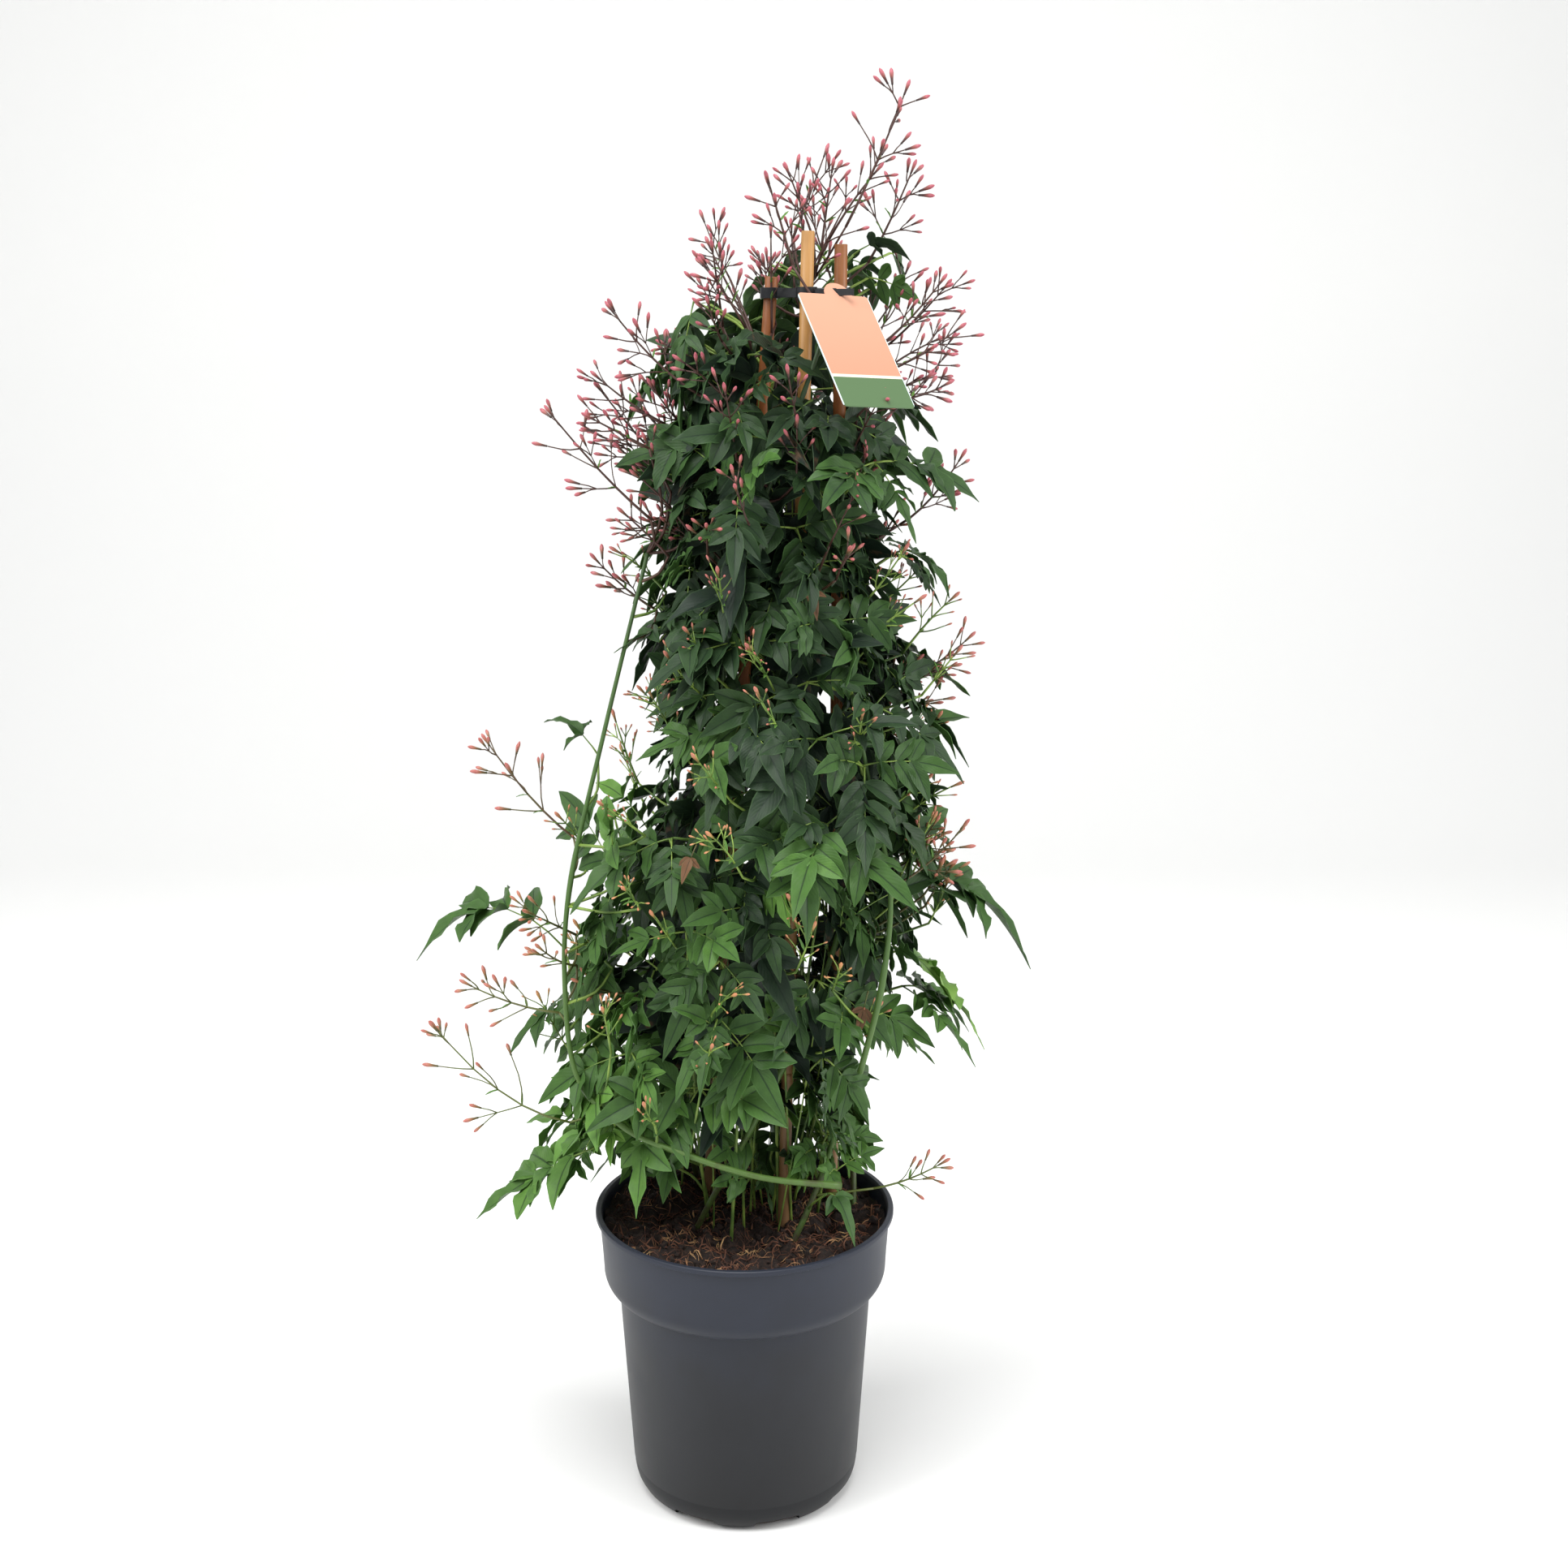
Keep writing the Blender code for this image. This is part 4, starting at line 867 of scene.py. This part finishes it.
class Growth:
    """Collects the stalks, leaflets and buds of one piece."""

    def __init__(self, seed_number):
        self.bm = bmesh.new()
        self.tone = self.bm.verts.layers.float.new("tone")
        self.bm.loops.layers.uv.new("along")
        self.stalks = thread_curve("stalks")
        self.rng = random.Random(seed_number)

    def vary(self, low, high):
        return self.rng.uniform(low, high)

    def stalk(self, points, thick, thin):
        """A stalk that thins evenly from its first point to its last."""
        last = len(points) - 1
        add_thread(self.stalks, points, [thick + (thin - thick) * step / last for step in range(last + 1)])

    def leaflet(self, start, middle, end, face, width, tone, drawn=0.85):
        """One blade along a bent line, folded on its midrib, twisted and wavy at its edge."""
        first = len(self.bm.verts)
        self.bm.from_mesh(leaf_mesh)
        self.bm.verts.ensure_lookup_table()
        fold = self.vary(0.08, 0.50)
        wave = self.vary(0.06, 0.32)
        phase = self.vary(0, 6.28)
        twist = self.vary(-0.5, 0.5)
        stations = {}
        for vert in self.bm.verts[first:]:
            part, side, layer = vert.co
            key = round(part, 3)
            if key not in stations:
                point = start * (1 - part) ** 2 + middle * (2 * part * (1 - part)) + end * part ** 2
                heading = ((middle - start) * (1 - part) + (end - middle) * part).normalized()
                across = heading.cross(face)
                across = (across + heading.cross(across) * twist * part).normalized()
                stations[key] = point, across, across.cross(heading), width / 2 * outline(part, drawn)
            point, across, normal, half = stations[key]
            ripple = wave * side * side * math.sin(12 * part + phase + 1.5 * side)
            lift = half * (fold * abs(side) + ripple) + (layer - leaf_middle) * LEAF_THICKNESS
            vert.co = point + across * (side * half) + normal * lift
            vert[self.tone] = tone

    def leaf(self, arch, slim, tone, pairs=LEAFLETS_AT + (TERMINAL_FROM,)):
        """A feathered leaf: opposite leaflets along its stalk and a long one from the last pair on."""
        length = arch.span.length
        self.stalk([arch.at(part) for part in (0, 0.1, *pairs)], 0.0008, 0.0004)
        face = arch.face.normalized()
        for part in pairs:
            heading = arch.heading(part)
            across = arch.across(part)
            for hand in (-1, 1):
                opening = LEAFLET_OPEN * self.vary(0.80, 1.2)
                aim = heading * math.cos(opening) + across * hand * math.sin(opening)
                reach = LEAFLET_REACH * length * self.vary(0.85, 1.15)
                start = arch.at(part)
                end = (start + aim * reach - UP * reach * self.vary(0.0, 0.30)
                       - face * reach * self.vary(-0.1, 0.25))
                middle = start + aim * reach * 0.5 + face * reach * self.vary(0.0, 0.10)
                tilt = (face + across * self.vary(-0.3, 0.3)).normalized()
                self.leaflet(start, middle, end, tilt, reach * 0.50 * slim, tone + self.vary(-0.05, 0.05))
        start = arch.at(pairs[-1])
        end = arch.at(1)
        middle = arch.at((1 + pairs[-1]) / 2) * 2 - (start + end) / 2
        self.leaflet(start, middle, end, face, (1 - pairs[-1]) * length * 0.38 * slim,
                     tone + self.vary(-0.05, 0.05), 1.1)

    def bud(self, foot, aim, size, tone):
        """One flower bud."""
        first = len(self.bm.verts)
        self.bm.from_mesh(bud_mesh)
        self.bm.verts.ensure_lookup_table()
        turn = aim.to_track_quat("Z", "Y").to_matrix()
        for vert in self.bm.verts[first:]:
            vert.co = foot + turn @ (vert.co * size)
            vert[self.tone] = tone

    def cyme(self, start, aim, stalk, size, tone):
        """A branch that ends in one bud, or in a bud between two others."""
        end = start + aim * stalk
        bow = aim.orthogonal().normalized() * stalk * self.vary(-0.08, 0.08)
        fork = start + aim * stalk * 0.58 + bow
        self.stalk([start, start + aim * stalk * 0.3 + bow, fork, end], 0.00055, 0.00042)
        self.bud(end, (end - fork).normalized(), BUD_LENGTH * size, tone)
        if stalk < 0.014 or self.rng.random() < 0.5:
            return
        plane = Matrix.Rotation(self.vary(0, math.pi), 3, aim) @ aim.orthogonal().normalized()
        for hand in (-1, 1):
            out = (aim + plane * hand * self.vary(0.45, 0.8) + UP * 0.1).normalized()
            reach = stalk * self.vary(0.34, 0.5)
            self.stalk([fork, fork + out * reach * 0.5 + UP * 0.0005, fork + out * reach], 0.00045, 0.0004)
            self.bud(fork + out * reach, out, BUD_LENGTH * size * self.vary(0.8, 1.0), tone)

    def spray(self, arch, buds, tone):
        """A spray: its stalk, its branches, the bud at its tip and the bracts at its joints."""
        self.stalk([arch.at(part) for part in (0, 0.17, 0.34, 0.51, 0.69, 0.86, 0.93)], 0.0010, 0.0005)
        for part, aim, stalk, size in buds:
            self.cyme(arch.at(part), aim, stalk, size, tone)
        foot = arch.at(0.93)
        self.bud(foot, (arch.at(1) - foot).normalized(), BUD_LENGTH, tone)
        for part in (0.34, 0.51):
            out = (arch.across(part) * self.rng.choice((-1, 1)) + arch.heading(part) * 0.6).normalized()
            start = arch.at(part)
            reach = self.vary(0.006, 0.011)
            self.leaflet(start, start + out * reach * 0.5 + UP * 0.001, start + out * reach,
                         arch.face.normalized(), 0.0018, 0.6)

    def finish(self, name, slot, stalk_material, nodes=()):
        """Makes the piece, puts it on the root body and hides the CAD nodes it takes the place of."""
        self.bm.from_mesh(curve_mesh(self.stalks))
        mesh = bpy.data.meshes.new(name)
        self.bm.to_mesh(mesh)
        self.bm.free()
        made = add_object(name, mesh, stalk_material, leaf_green, petal)
        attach(made, "root")
        if nodes:
            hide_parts(*nodes)


def join_to_stem(growth, base, heading):
    """The stalk that carries a piece from the nearest stem to its base."""
    wanted = base - UP * 0.02
    root = min(joints, key=lambda joint: (joint - wanted).length_squared)
    middle = (root + base) / 2 - heading * (base - root).length * 0.15
    growth.stalk(smooth_path([root, middle, base], 3), 0.0012, 0.0009)


# ---- Leafy side shoots --------------------------------------------------------------------------
# Side shoots that leave the twining stems and fork into an opposite pair of leaves and a third one,
# and single long leaves that reach outside the crown.

SHOOTS = 16
FIRST_SHOOT = 0.325
LAST_SHOOT = 0.855
CROWN = ((0.22, 0.120), (0.32, 0.132), (0.42, 0.150), (0.51, 0.146), (0.60, 0.118),
         (0.70, 0.104), (0.80, 0.096), (0.86, 0.082), (0.95, 0.066))
ATTEMPTS = 60
NUDGE = 0.0004
STEM_ATTEMPTS = 12


def crown(height):
    """How far the side shoots reach from the middle at a height."""
    for (low, narrow), (high, wide) in zip(CROWN, CROWN[1:]):
        if height <= high:
            return narrow + (wide - narrow) * (height - low) / (high - low)
    return CROWN[-1][1]


def outer_arch(base, tip, rise, rng, attempt):
    """The line of a piece outside the crown, moved a little at each new attempt."""
    spread = NUDGE * attempt
    base, tip = (Vector(point) + Vector([rng.uniform(-spread, spread) for _ in range(3)])
                 for point in (base, tip))
    out = (base - trunk(base.z)) * Vector((1, 1, 0))
    return Arch(base, tip, rise, out.normalized())


def plan_shoot(number, attempt):
    """Where a side shoot leaves its stem and forks, and the lines of its leaves."""
    rng = random.Random(100 * number + attempt)
    wide = 0.006 + 0.0010 * attempt
    height = FIRST_SHOOT + (LAST_SHOOT - FIRST_SHOOT) * number / (SHOOTS - 1)
    height += rng.uniform(-wide, wide)
    turn = vine_turn((2 * number + attempt // STEM_ATTEMPTS) % VINES, height)
    out = bearing(turn)
    left = bearing(turn + math.pi / 2)
    start = trunk(height) + out * (vine_ring(height) + VINE_RADIUS + 0.004)
    reach = crown(height) - vine_ring(height)
    lean = rng.uniform(-0.1, 0.1)
    fork = start + out * reach * 0.35 + UP * rng.uniform(0.010, 0.022) + left * reach * lean
    leaves = []
    for hand in (-1, 1):
        aside = left * hand * rng.uniform(0.055, 0.080)
        tip = fork + out * reach * rng.uniform(0.35, 0.65) + aside
        tip -= UP * rng.uniform(0.015, 0.055)
        leaves.append((Arch(fork, tip, rng.uniform(0.004, 0.012), out), rng.uniform(0.85, 1.05)))
    tip = fork + out * reach * rng.uniform(0.50, 0.75) + left * rng.uniform(-0.02, 0.02)
    tip -= UP * rng.uniform(0.030, 0.070)
    leaves.append((Arch(fork, tip, rng.uniform(0.006, 0.014), out), rng.uniform(0.85, 1.05)))
    return start, fork, leaves


def leaf_tips(arch):
    """The far points of a feathered leaf."""
    reach = LEAFLET_REACH * arch.span.length
    tips = [arch.at(1)]
    for part in LEAFLETS_AT:
        heading, across = arch.heading(part), arch.across(part)
        for hand in (-1, 1):
            aim = heading * math.cos(LEAFLET_OPEN) + across * hand * math.sin(LEAFLET_OPEN)
            tips.append(arch.at(part) + aim * reach - UP * reach * 0.10)
    return tips


def settled(node, plan, points):
    """The attempt whose extent best fits the CAD node's box."""
    low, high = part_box(node)

    def misfit(made):
        ends = points(made)
        return sum(abs(min(p[i] for p in ends) - low[i]) + abs(max(p[i] for p in ends) - high[i])
                   for i in range(3))

    return min((plan(attempt) for attempt in range(ATTEMPTS)), key=misfit)


def leaf_tone_with_painted_light(spot, rng):
    """Painted shade darkens the middle of the crown, painted light brightens leaves low down and at the
    sides; a few are new leaves.
    """
    low = max(0, min(1, (0.62 - spot.z) / 0.30))
    left = max(0, min(1, (0.0 - spot.x) / 0.10))
    right = max(0, min(1, (spot.x - 0.08) / 0.05))
    fresh = 0.26 if rng.random() < 0.08 else 0
    return 0.19 + 0.20 * low + 0.16 * left + 0.10 * right + fresh + rng.uniform(-0.08, 0.14)


for number in range(SHOOTS):
    node = f"leafy_shoot_{number + 1:02d}"
    start, fork, leaves = settled(
        node, lambda attempt: plan_shoot(number, attempt),
        lambda made: [made[0]] + [tip for arch, _ in made[2] for tip in leaf_tips(arch)])
    growth = Growth(300 + number)
    growth.stalk([start - (fork - start) * 0.3, (start + fork) / 2, fork], 0.0013, 0.0010)
    for arch, slim in leaves:
        growth.leaf(arch, slim, leaf_tone_with_painted_light(arch.at(0.5), growth.rng))
    growth.finish(f"shoot_{number + 1:02d}_leaves", "leaf", green_stalk, [node])

OUTER_LEAVES = {
    "leaf_left_long": ((-0.134, -0.010, 0.440), (-0.246, 0.000, 0.427), 0.036),
    "leaf_left_low": ((-0.110, -0.035, 0.292), (-0.203, -0.030, 0.231), 0.006),
    "leaf_left_side": ((-0.126, 0.020, 0.395), (-0.180, 0.005, 0.350), 0.008),
    "leaf_left_loose": ((-0.103, -0.005, 0.590), (-0.146, 0.000, 0.608), 0.010),
    "leaf_right_long": ((0.118, -0.005, 0.478), (0.216, 0.000, 0.420), 0.034),
    "leaf_right_low": ((0.118, 0.020, 0.428), (0.184, 0.015, 0.350), 0.016),
    "leaf_right_side": ((0.112, 0.030, 0.640), (0.158, 0.020, 0.580), 0.014),
    "leaf_top": ((0.082, 0.022, 0.944), (0.119, 0.012, 0.936), 0.010),
    "leaf_rim": ((0.070, -0.062, 0.262), (0.076, -0.096, 0.238), 0.012),
}
for number, (node, line) in enumerate(OUTER_LEAVES.items()):
    arch = settled(
        node, lambda attempt: outer_arch(*line, random.Random(7000 + 100 * number + attempt), attempt),
        leaf_tips)
    growth = Growth(400 + number)
    join_to_stem(growth, arch.base, arch.heading(0))
    pairs = (0.28,) if arch.span.length < 0.05 else LEAFLETS_AT + (TERMINAL_FROM,)
    growth.leaf(arch, 1.05, leaf_tone_with_painted_light(arch.base, growth.rng) - 0.04, pairs)
    growth.finish(node + "_blades", "leaf", green_stalk, [node])


# ---- Crown --------------------------------------------------------------------------------------
# The rest of the leaves.  Twigs from the twining stems end in opposite leaves that hang over the
# crown in all directions, thick enough to hide the canes but thin near the peat at the front.

GOLDEN_TURN = 2.39996
CROWN_LEFT = -0.135
CROWN_RIGHT = 0.090
CROWN_DEPTH = 0.118
TWIGS = 26
INNER_LEAVES = 300
LOW_TRIES = 64
TOP_LEAVES = 30
DEAD_LEAVES = 9


def eased(low, high, height):
    """From 0 at the low height to 1 at the high one, with soft ends."""
    part = max(0, min(1, (height - low) / (high - low)))
    return part * part * (3 - 2 * part)


def crown_spot(height, turn, part):
    """A place on a ring inside the crown, which is broad below and narrows sooner on the left."""
    left = CROWN_LEFT + 0.080 * eased(0.46, 0.64, height) + 0.045 * eased(0.78, 0.96, height)
    right = (CROWN_RIGHT + 0.055 * eased(0.33, 0.46, height) - 0.048 * eased(0.58, 0.74, height)
             - 0.025 * eased(0.82, 0.95, height))
    half = (right - left) / 2
    return Vector(((left + right) / 2 + half * part * math.cos(turn),
                   0.004 + min(half, CROWN_DEPTH) * part * math.sin(turn), height))


def hides_label(spot):
    """Whether a leaf or spray from this place would hang over the label or the clip."""
    return spot.z > (0.84 if spot.x > 0.03 else 0.865) and spot.y < 0.03 and spot.x > 0.0


def hides_cane(spot):
    """Whether a leaf or spray from this place would hang in front of the foot of the front cane."""
    return spot.z < 0.42 and spot.y < -0.01 and abs(spot.x - 0.030) < 0.022


def hanging_leaf(growth, base, out, swing, length, tone, pairs=(0.17, 0.36, 0.50)):
    """A leaf that faces outwards; swing turns it from straight down towards one side."""
    side = out.cross(UP)
    heading = side * math.sin(swing) - UP * math.cos(swing) + out * growth.vary(-0.05, 0.85)
    tip = base + heading.normalized() * length
    face = out * 0.8 + UP * growth.vary(0.1, 0.9) + side * growth.vary(-0.7, 0.7)
    arch = Arch(base, tip, length * growth.vary(0.03, 0.12), out, face)
    growth.leaf(arch, growth.vary(0.85, 1.1), tone, pairs)


for number in range(VINES):
    growth = Growth(500 + number)
    rng = growth.rng
    for twig in range(TWIGS):
        count = twig * VINES + number
        height = 0.275 + 0.625 * (count + rng.random()) / (TWIGS * VINES)
        turn = count * GOLDEN_TURN + rng.uniform(-0.3, 0.3)
        at_front = abs(math.remainder(turn + math.pi / 2, 2 * math.pi)) < 0.7
        if height < 0.40 and at_front and rng.random() < 0.6:
            continue
        out = bearing(turn)
        end = crown_spot(height, turn, rng.uniform(0.50, 0.84))
        if hides_label(end) or hides_cane(end):
            continue
        join_to_stem(growth, end, out)
        swing = rng.uniform(0.5, 2.2) * rng.choice((-1, 1))
        for leaf, way in enumerate((swing, rng.uniform(-0.5, 0.5) - swing, rng.uniform(-0.9, 0.9))):
            tone = leaf_tone_with_painted_light(end, rng) - (0.06 if leaf == 2 else 0)
            length = rng.uniform(0.055, 0.098) * (1 if height < 0.6 else 0.88)
            hanging_leaf(growth, end + out * 0.002 * leaf, out, way, length, tone)
    growth.finish(f"crown_leaves_{number + 1}", "leaf", green_stalk)

# Leaves deep inside the crown, all at the darkest tone as painted shade
growth = Growth(560)
rng = growth.rng
for count in range(INNER_LEAVES):
    height = 0.34 + 0.52 * (count + rng.random()) / INNER_LEAVES
    turn = count * GOLDEN_TURN
    end = crown_spot(height, turn, rng.uniform(0.20, 0.50))
    hanging_leaf(growth, end, bearing(turn), rng.uniform(-2.2, 2.2), rng.uniform(0.06, 0.09), 0.0, (0.36,))
growth.finish("inner_leaves", "leaf", green_stalk)

# Leaves that the low shoots carry just above the peat, except at the front left, which is bare
growth = Growth(570)
rng = growth.rng
for count in range(LOW_TRIES):
    turn = count * GOLDEN_TURN
    end = crown_spot(rng.uniform(0.262, 0.345), turn, rng.uniform(0.25, 0.85))
    if hides_cane(end) or (end.y < -0.035 and end.x < 0.05):
        continue
    join_to_stem(growth, end, bearing(turn))
    way = rng.uniform(0.9, 1.9) * rng.choice((-1, 1))
    hanging_leaf(growth, end, bearing(turn), way, rng.uniform(0.05, 0.075), leaf_tone_with_painted_light(end, rng))
# A low shoot at the front right spreads its leaves over the edge of the peat
for count in range(9):
    turn = rng.uniform(-0.95, -0.35)
    end = trunk(0.27) + bearing(turn) * rng.uniform(0.045, 0.080) + UP * rng.uniform(-0.004, 0.030)
    join_to_stem(growth, end, bearing(turn))
    way = rng.uniform(1.2, 1.8) * rng.choice((-1, 1))
    hanging_leaf(growth, end, bearing(turn), way, rng.uniform(0.035, 0.050), leaf_tone_with_painted_light(end, rng) + 0.06)
growth.finish("low_leaves", "leaf", green_stalk)

# Leaves round the cane tops, left of the clip and behind it
growth = Growth(580)
rng = growth.rng
for count in range(TOP_LEAVES):
    end = Vector((rng.uniform(-0.045, 0.002), rng.uniform(-0.025, 0.03), rng.uniform(0.86, 0.915)))
    if count >= 16:
        end = Vector((rng.uniform(0.0, 0.11), rng.uniform(0.025, 0.05), rng.uniform(0.87, 0.955)))
    out = (end - trunk(end.z)) * Vector((1, 1, 0))
    join_to_stem(growth, end, out.normalized())
    hanging_leaf(growth, end, out.normalized(), rng.uniform(-1.2, 1.2), rng.uniform(0.040, 0.075),
                 leaf_tone_with_painted_light(end, rng) + 0.05, (0.2, 0.45))
# Three more hang across the front cane below the clip
for x_at, height, swing in ((0.006, 0.872, -1.25), (0.014, 0.850, -0.9), (0.050, 0.842, 0.8)):
    end = Vector((x_at, -0.036, height))
    join_to_stem(growth, end, -UP)
    hanging_leaf(growth, end, Vector((0, -1, 0)), swing, 0.058, 0.16, (0.2, 0.45))
growth.finish("top_leaves", "leaf", green_stalk)

# A few leaves have died in the shade and hang brown and curled
growth = Growth(590)
rng = growth.rng
for count in range(DEAD_LEAVES):
    turn = count * GOLDEN_TURN + 0.9
    end = crown_spot(0.30 + 0.06 * count, turn, rng.uniform(0.7, 0.9))
    hanging_leaf(growth, end, bearing(turn), rng.uniform(-0.8, 0.8), rng.uniform(0.03, 0.04), -0.2, (0.4,))
growth.finish("dead_leaves", "leaf", brown_stalk)


# ---- Flower sprays ------------------------------------------------------------------------------
# Branching sprays of unopened flowers, on thin red-brown stalks that turn olive lower down.  They
# stand out all round the crown, most of them near its top.

SPRAYS = {
    "spray_top": ((0.073, 0.000, 0.958), (0.115, 0.000, 1.052), -0.004),
    "spray_top_left": ((0.036, -0.024, 0.932), (0.020, -0.022, 0.985), 0.002),
    "spray_top_mid": ((0.056, 0.014, 0.940), (0.064, 0.012, 0.998), 0.002),
    "spray_top_right": ((0.090, 0.030, 0.935), (0.121, 0.026, 1.000), -0.003),
    "spray_shoulder_left": ((0.004, -0.022, 0.890), (-0.024, -0.020, 0.932), 0.002),
    "spray_left_high": ((-0.028, -0.030, 0.845), (-0.090, -0.024, 0.905), -0.006),
    "spray_left_upper": ((-0.050, 0.030, 0.790), (-0.101, 0.010, 0.850), -0.004),
    "spray_left_wide": ((-0.062, -0.035, 0.760), (-0.133, -0.032, 0.836), -0.004),
    "spray_left_mid": ((-0.062, 0.012, 0.690), (-0.105, 0.004, 0.728), -0.003),
    "spray_left_lower": ((-0.122, -0.030, 0.530), (-0.186, -0.022, 0.603), -0.006),
    "spray_left_side": ((-0.134, -0.046, 0.402), (-0.204, -0.032, 0.420), -0.004),
    "spray_left_drooping": ((-0.128, -0.050, 0.318), (-0.234, -0.022, 0.388), -0.016),
    "spray_right_high": ((0.098, 0.004, 0.878), (0.140, 0.000, 0.922), -0.003),
    "spray_right_upper": ((0.094, -0.034, 0.842), (0.142, -0.024, 0.852), -0.004),
    "spray_right_mid": ((0.114, 0.014, 0.752), (0.158, 0.010, 0.802), -0.006),
    "spray_right_lower": ((0.116, -0.040, 0.500), (0.160, -0.030, 0.538), -0.004),
    "spray_right_low": ((0.098, -0.034, 0.258), (0.150, -0.030, 0.277), -0.003),
}
SPRAY_NODES = 4


def plan_spray(number, attempt, base, tip, rise):
    """A spray's line, and for each bud its place on it, direction, stalk and size."""
    rng = random.Random(5000 + 100 * number + attempt)
    arch = outer_arch(base, tip, rise, rng, attempt)
    buds = []
    for step in range(SPRAY_NODES):
        part = 0.34 + 0.52 * step / (SPRAY_NODES - 1)
        heading = arch.heading(part)
        across = arch.across(part)
        plane = across if step % 2 == 0 else heading.cross(across)
        for hand in (-1, 1):
            opening = math.radians(rng.uniform(36, 54))
            aim = heading * math.cos(opening) + plane * hand * math.sin(opening)
            stalk = arch.span.length * (0.30 - 0.05 * step) * rng.uniform(0.75, 1.15)
            buds.append((part, aim, stalk, rng.uniform(0.85, 1.15)))
    return arch, buds


def bud_tips(made):
    """The far points of a spray."""
    arch, buds = made
    tips = [arch.base, arch.at(0.9) + arch.heading(1) * (arch.span.length * 0.1 + BUD_REACH)]
    return tips + [arch.at(part) + aim * (stalk + BUD_REACH * size) for part, aim, stalk, size in buds]


def bud_tone(spot):
    """Rose at the top and outside of the plant, amber inside and lower down."""
    return max(0.0, min(1.0, (0.80 - spot.z) / 0.35))


for number, (node, line) in enumerate(SPRAYS.items()):
    arch, buds = settled(node, lambda attempt: plan_spray(number, attempt, *line), bud_tips)
    growth = Growth(600 + number)
    join_to_stem(growth, arch.base, arch.heading(0))
    growth.spray(arch, buds, 0.35 * bud_tone(arch.base))
    growth.finish(node + "_buds", "buds", brown_stalk, [node])


def free_spray(growth, base, out, aim, length, tone, small=1.0):
    """A small spray that stands off the crown."""
    rng = growth.rng
    arch = Arch(base, base + aim.normalized() * length, rng.uniform(-0.003, 0.003), out)
    join_to_stem(growth, base, arch.heading(0))
    buds = []
    for part in (0.35, 0.6, 0.85)[:rng.choice((2, 3, 3))]:
        plane = Matrix.Rotation(rng.uniform(0, math.pi), 3, aim) @ aim.orthogonal().normalized()
        for hand in (-1, 1):
            way = (arch.heading(part) + plane * hand * rng.uniform(0.6, 1.0)).normalized()
            buds.append((part, way, rng.uniform(0.2, 0.36) * length * (1.3 - 0.5 * part),
                         small * rng.uniform(0.75, 1.0)))
    growth.spray(arch, buds, tone)


SMALL_SPRAYS = 110
upper = Growth(700)
lower = Growth(701)
rng = random.Random(702)
for count in range(SMALL_SPRAYS):
    height = 0.93 - 0.60 * ((count + rng.random()) / SMALL_SPRAYS) ** 1.15
    turn = count * GOLDEN_TURN + rng.uniform(-0.4, 0.4)
    out = bearing(turn)
    base = crown_spot(height, turn, rng.uniform(0.76, 1.0))
    if hides_label(base) or hides_cane(base):
        continue
    aim = out * rng.uniform(0.3, 0.9) + UP * rng.uniform(0.5, 1.1) + out.cross(UP) * rng.uniform(-0.5, 0.5)
    growth = upper if height > 0.72 else lower
    free_spray(growth, base, out, aim, rng.uniform(0.030, 0.055), bud_tone(base) * rng.uniform(0.6, 1.0),
               1.0 if height > 0.72 else 0.62)
upper.finish("upper_sprays", "buds", brown_stalk)
lower.finish("lower_sprays", "buds", green_stalk)

# Where sprays crowd together: the middle of each tuft, the way it points, how many, how long
TUFTS = (
    ((0.055, 0.020, 0.922), (0.1, 0.1, 1.0), 8, 0.070),
    ((0.000, 0.010, 0.885), (-0.5, 0.0, 1.0), 2, 0.055),
    ((-0.038, 0.000, 0.795), (-1.0, -0.1, 0.7), 5, 0.066),
    ((-0.052, 0.000, 0.725), (-1.0, 0.0, 0.5), 4, 0.048),
    ((0.096, 0.012, 0.850), (0.7, 0.0, 0.8), 8, 0.062),
    ((0.112, 0.000, 0.620), (0.8, 0.0, 0.5), 5, 0.042),
    ((0.118, -0.020, 0.490), (0.6, -0.5, 0.6), 5, 0.045),
    ((-0.118, -0.030, 0.420), (-0.9, -0.3, 0.5), 3, 0.048),
    ((0.030, 0.062, 0.800), (0.0, 0.8, 1.0), 6, 0.048),
)
growth = Growth(710)
rng = growth.rng
for middle, aim, number, length in TUFTS:
    for _ in range(number):
        base = Vector(middle) + Vector([rng.gauss(0, 0.4) for _ in range(3)]) * 0.045
        base.y += rng.uniform(-0.02, 0.03)
        away = Vector(aim) + Vector([rng.uniform(-0.45, 0.45) for _ in range(3)])
        out = (base - trunk(base.z)) * Vector((1, 1, 0))
        free_spray(growth, base, out.normalized(), away, length * rng.uniform(0.65, 1.15),
                   0.5 * bud_tone(base))
growth.finish("crowded_sprays", "buds", brown_stalk)
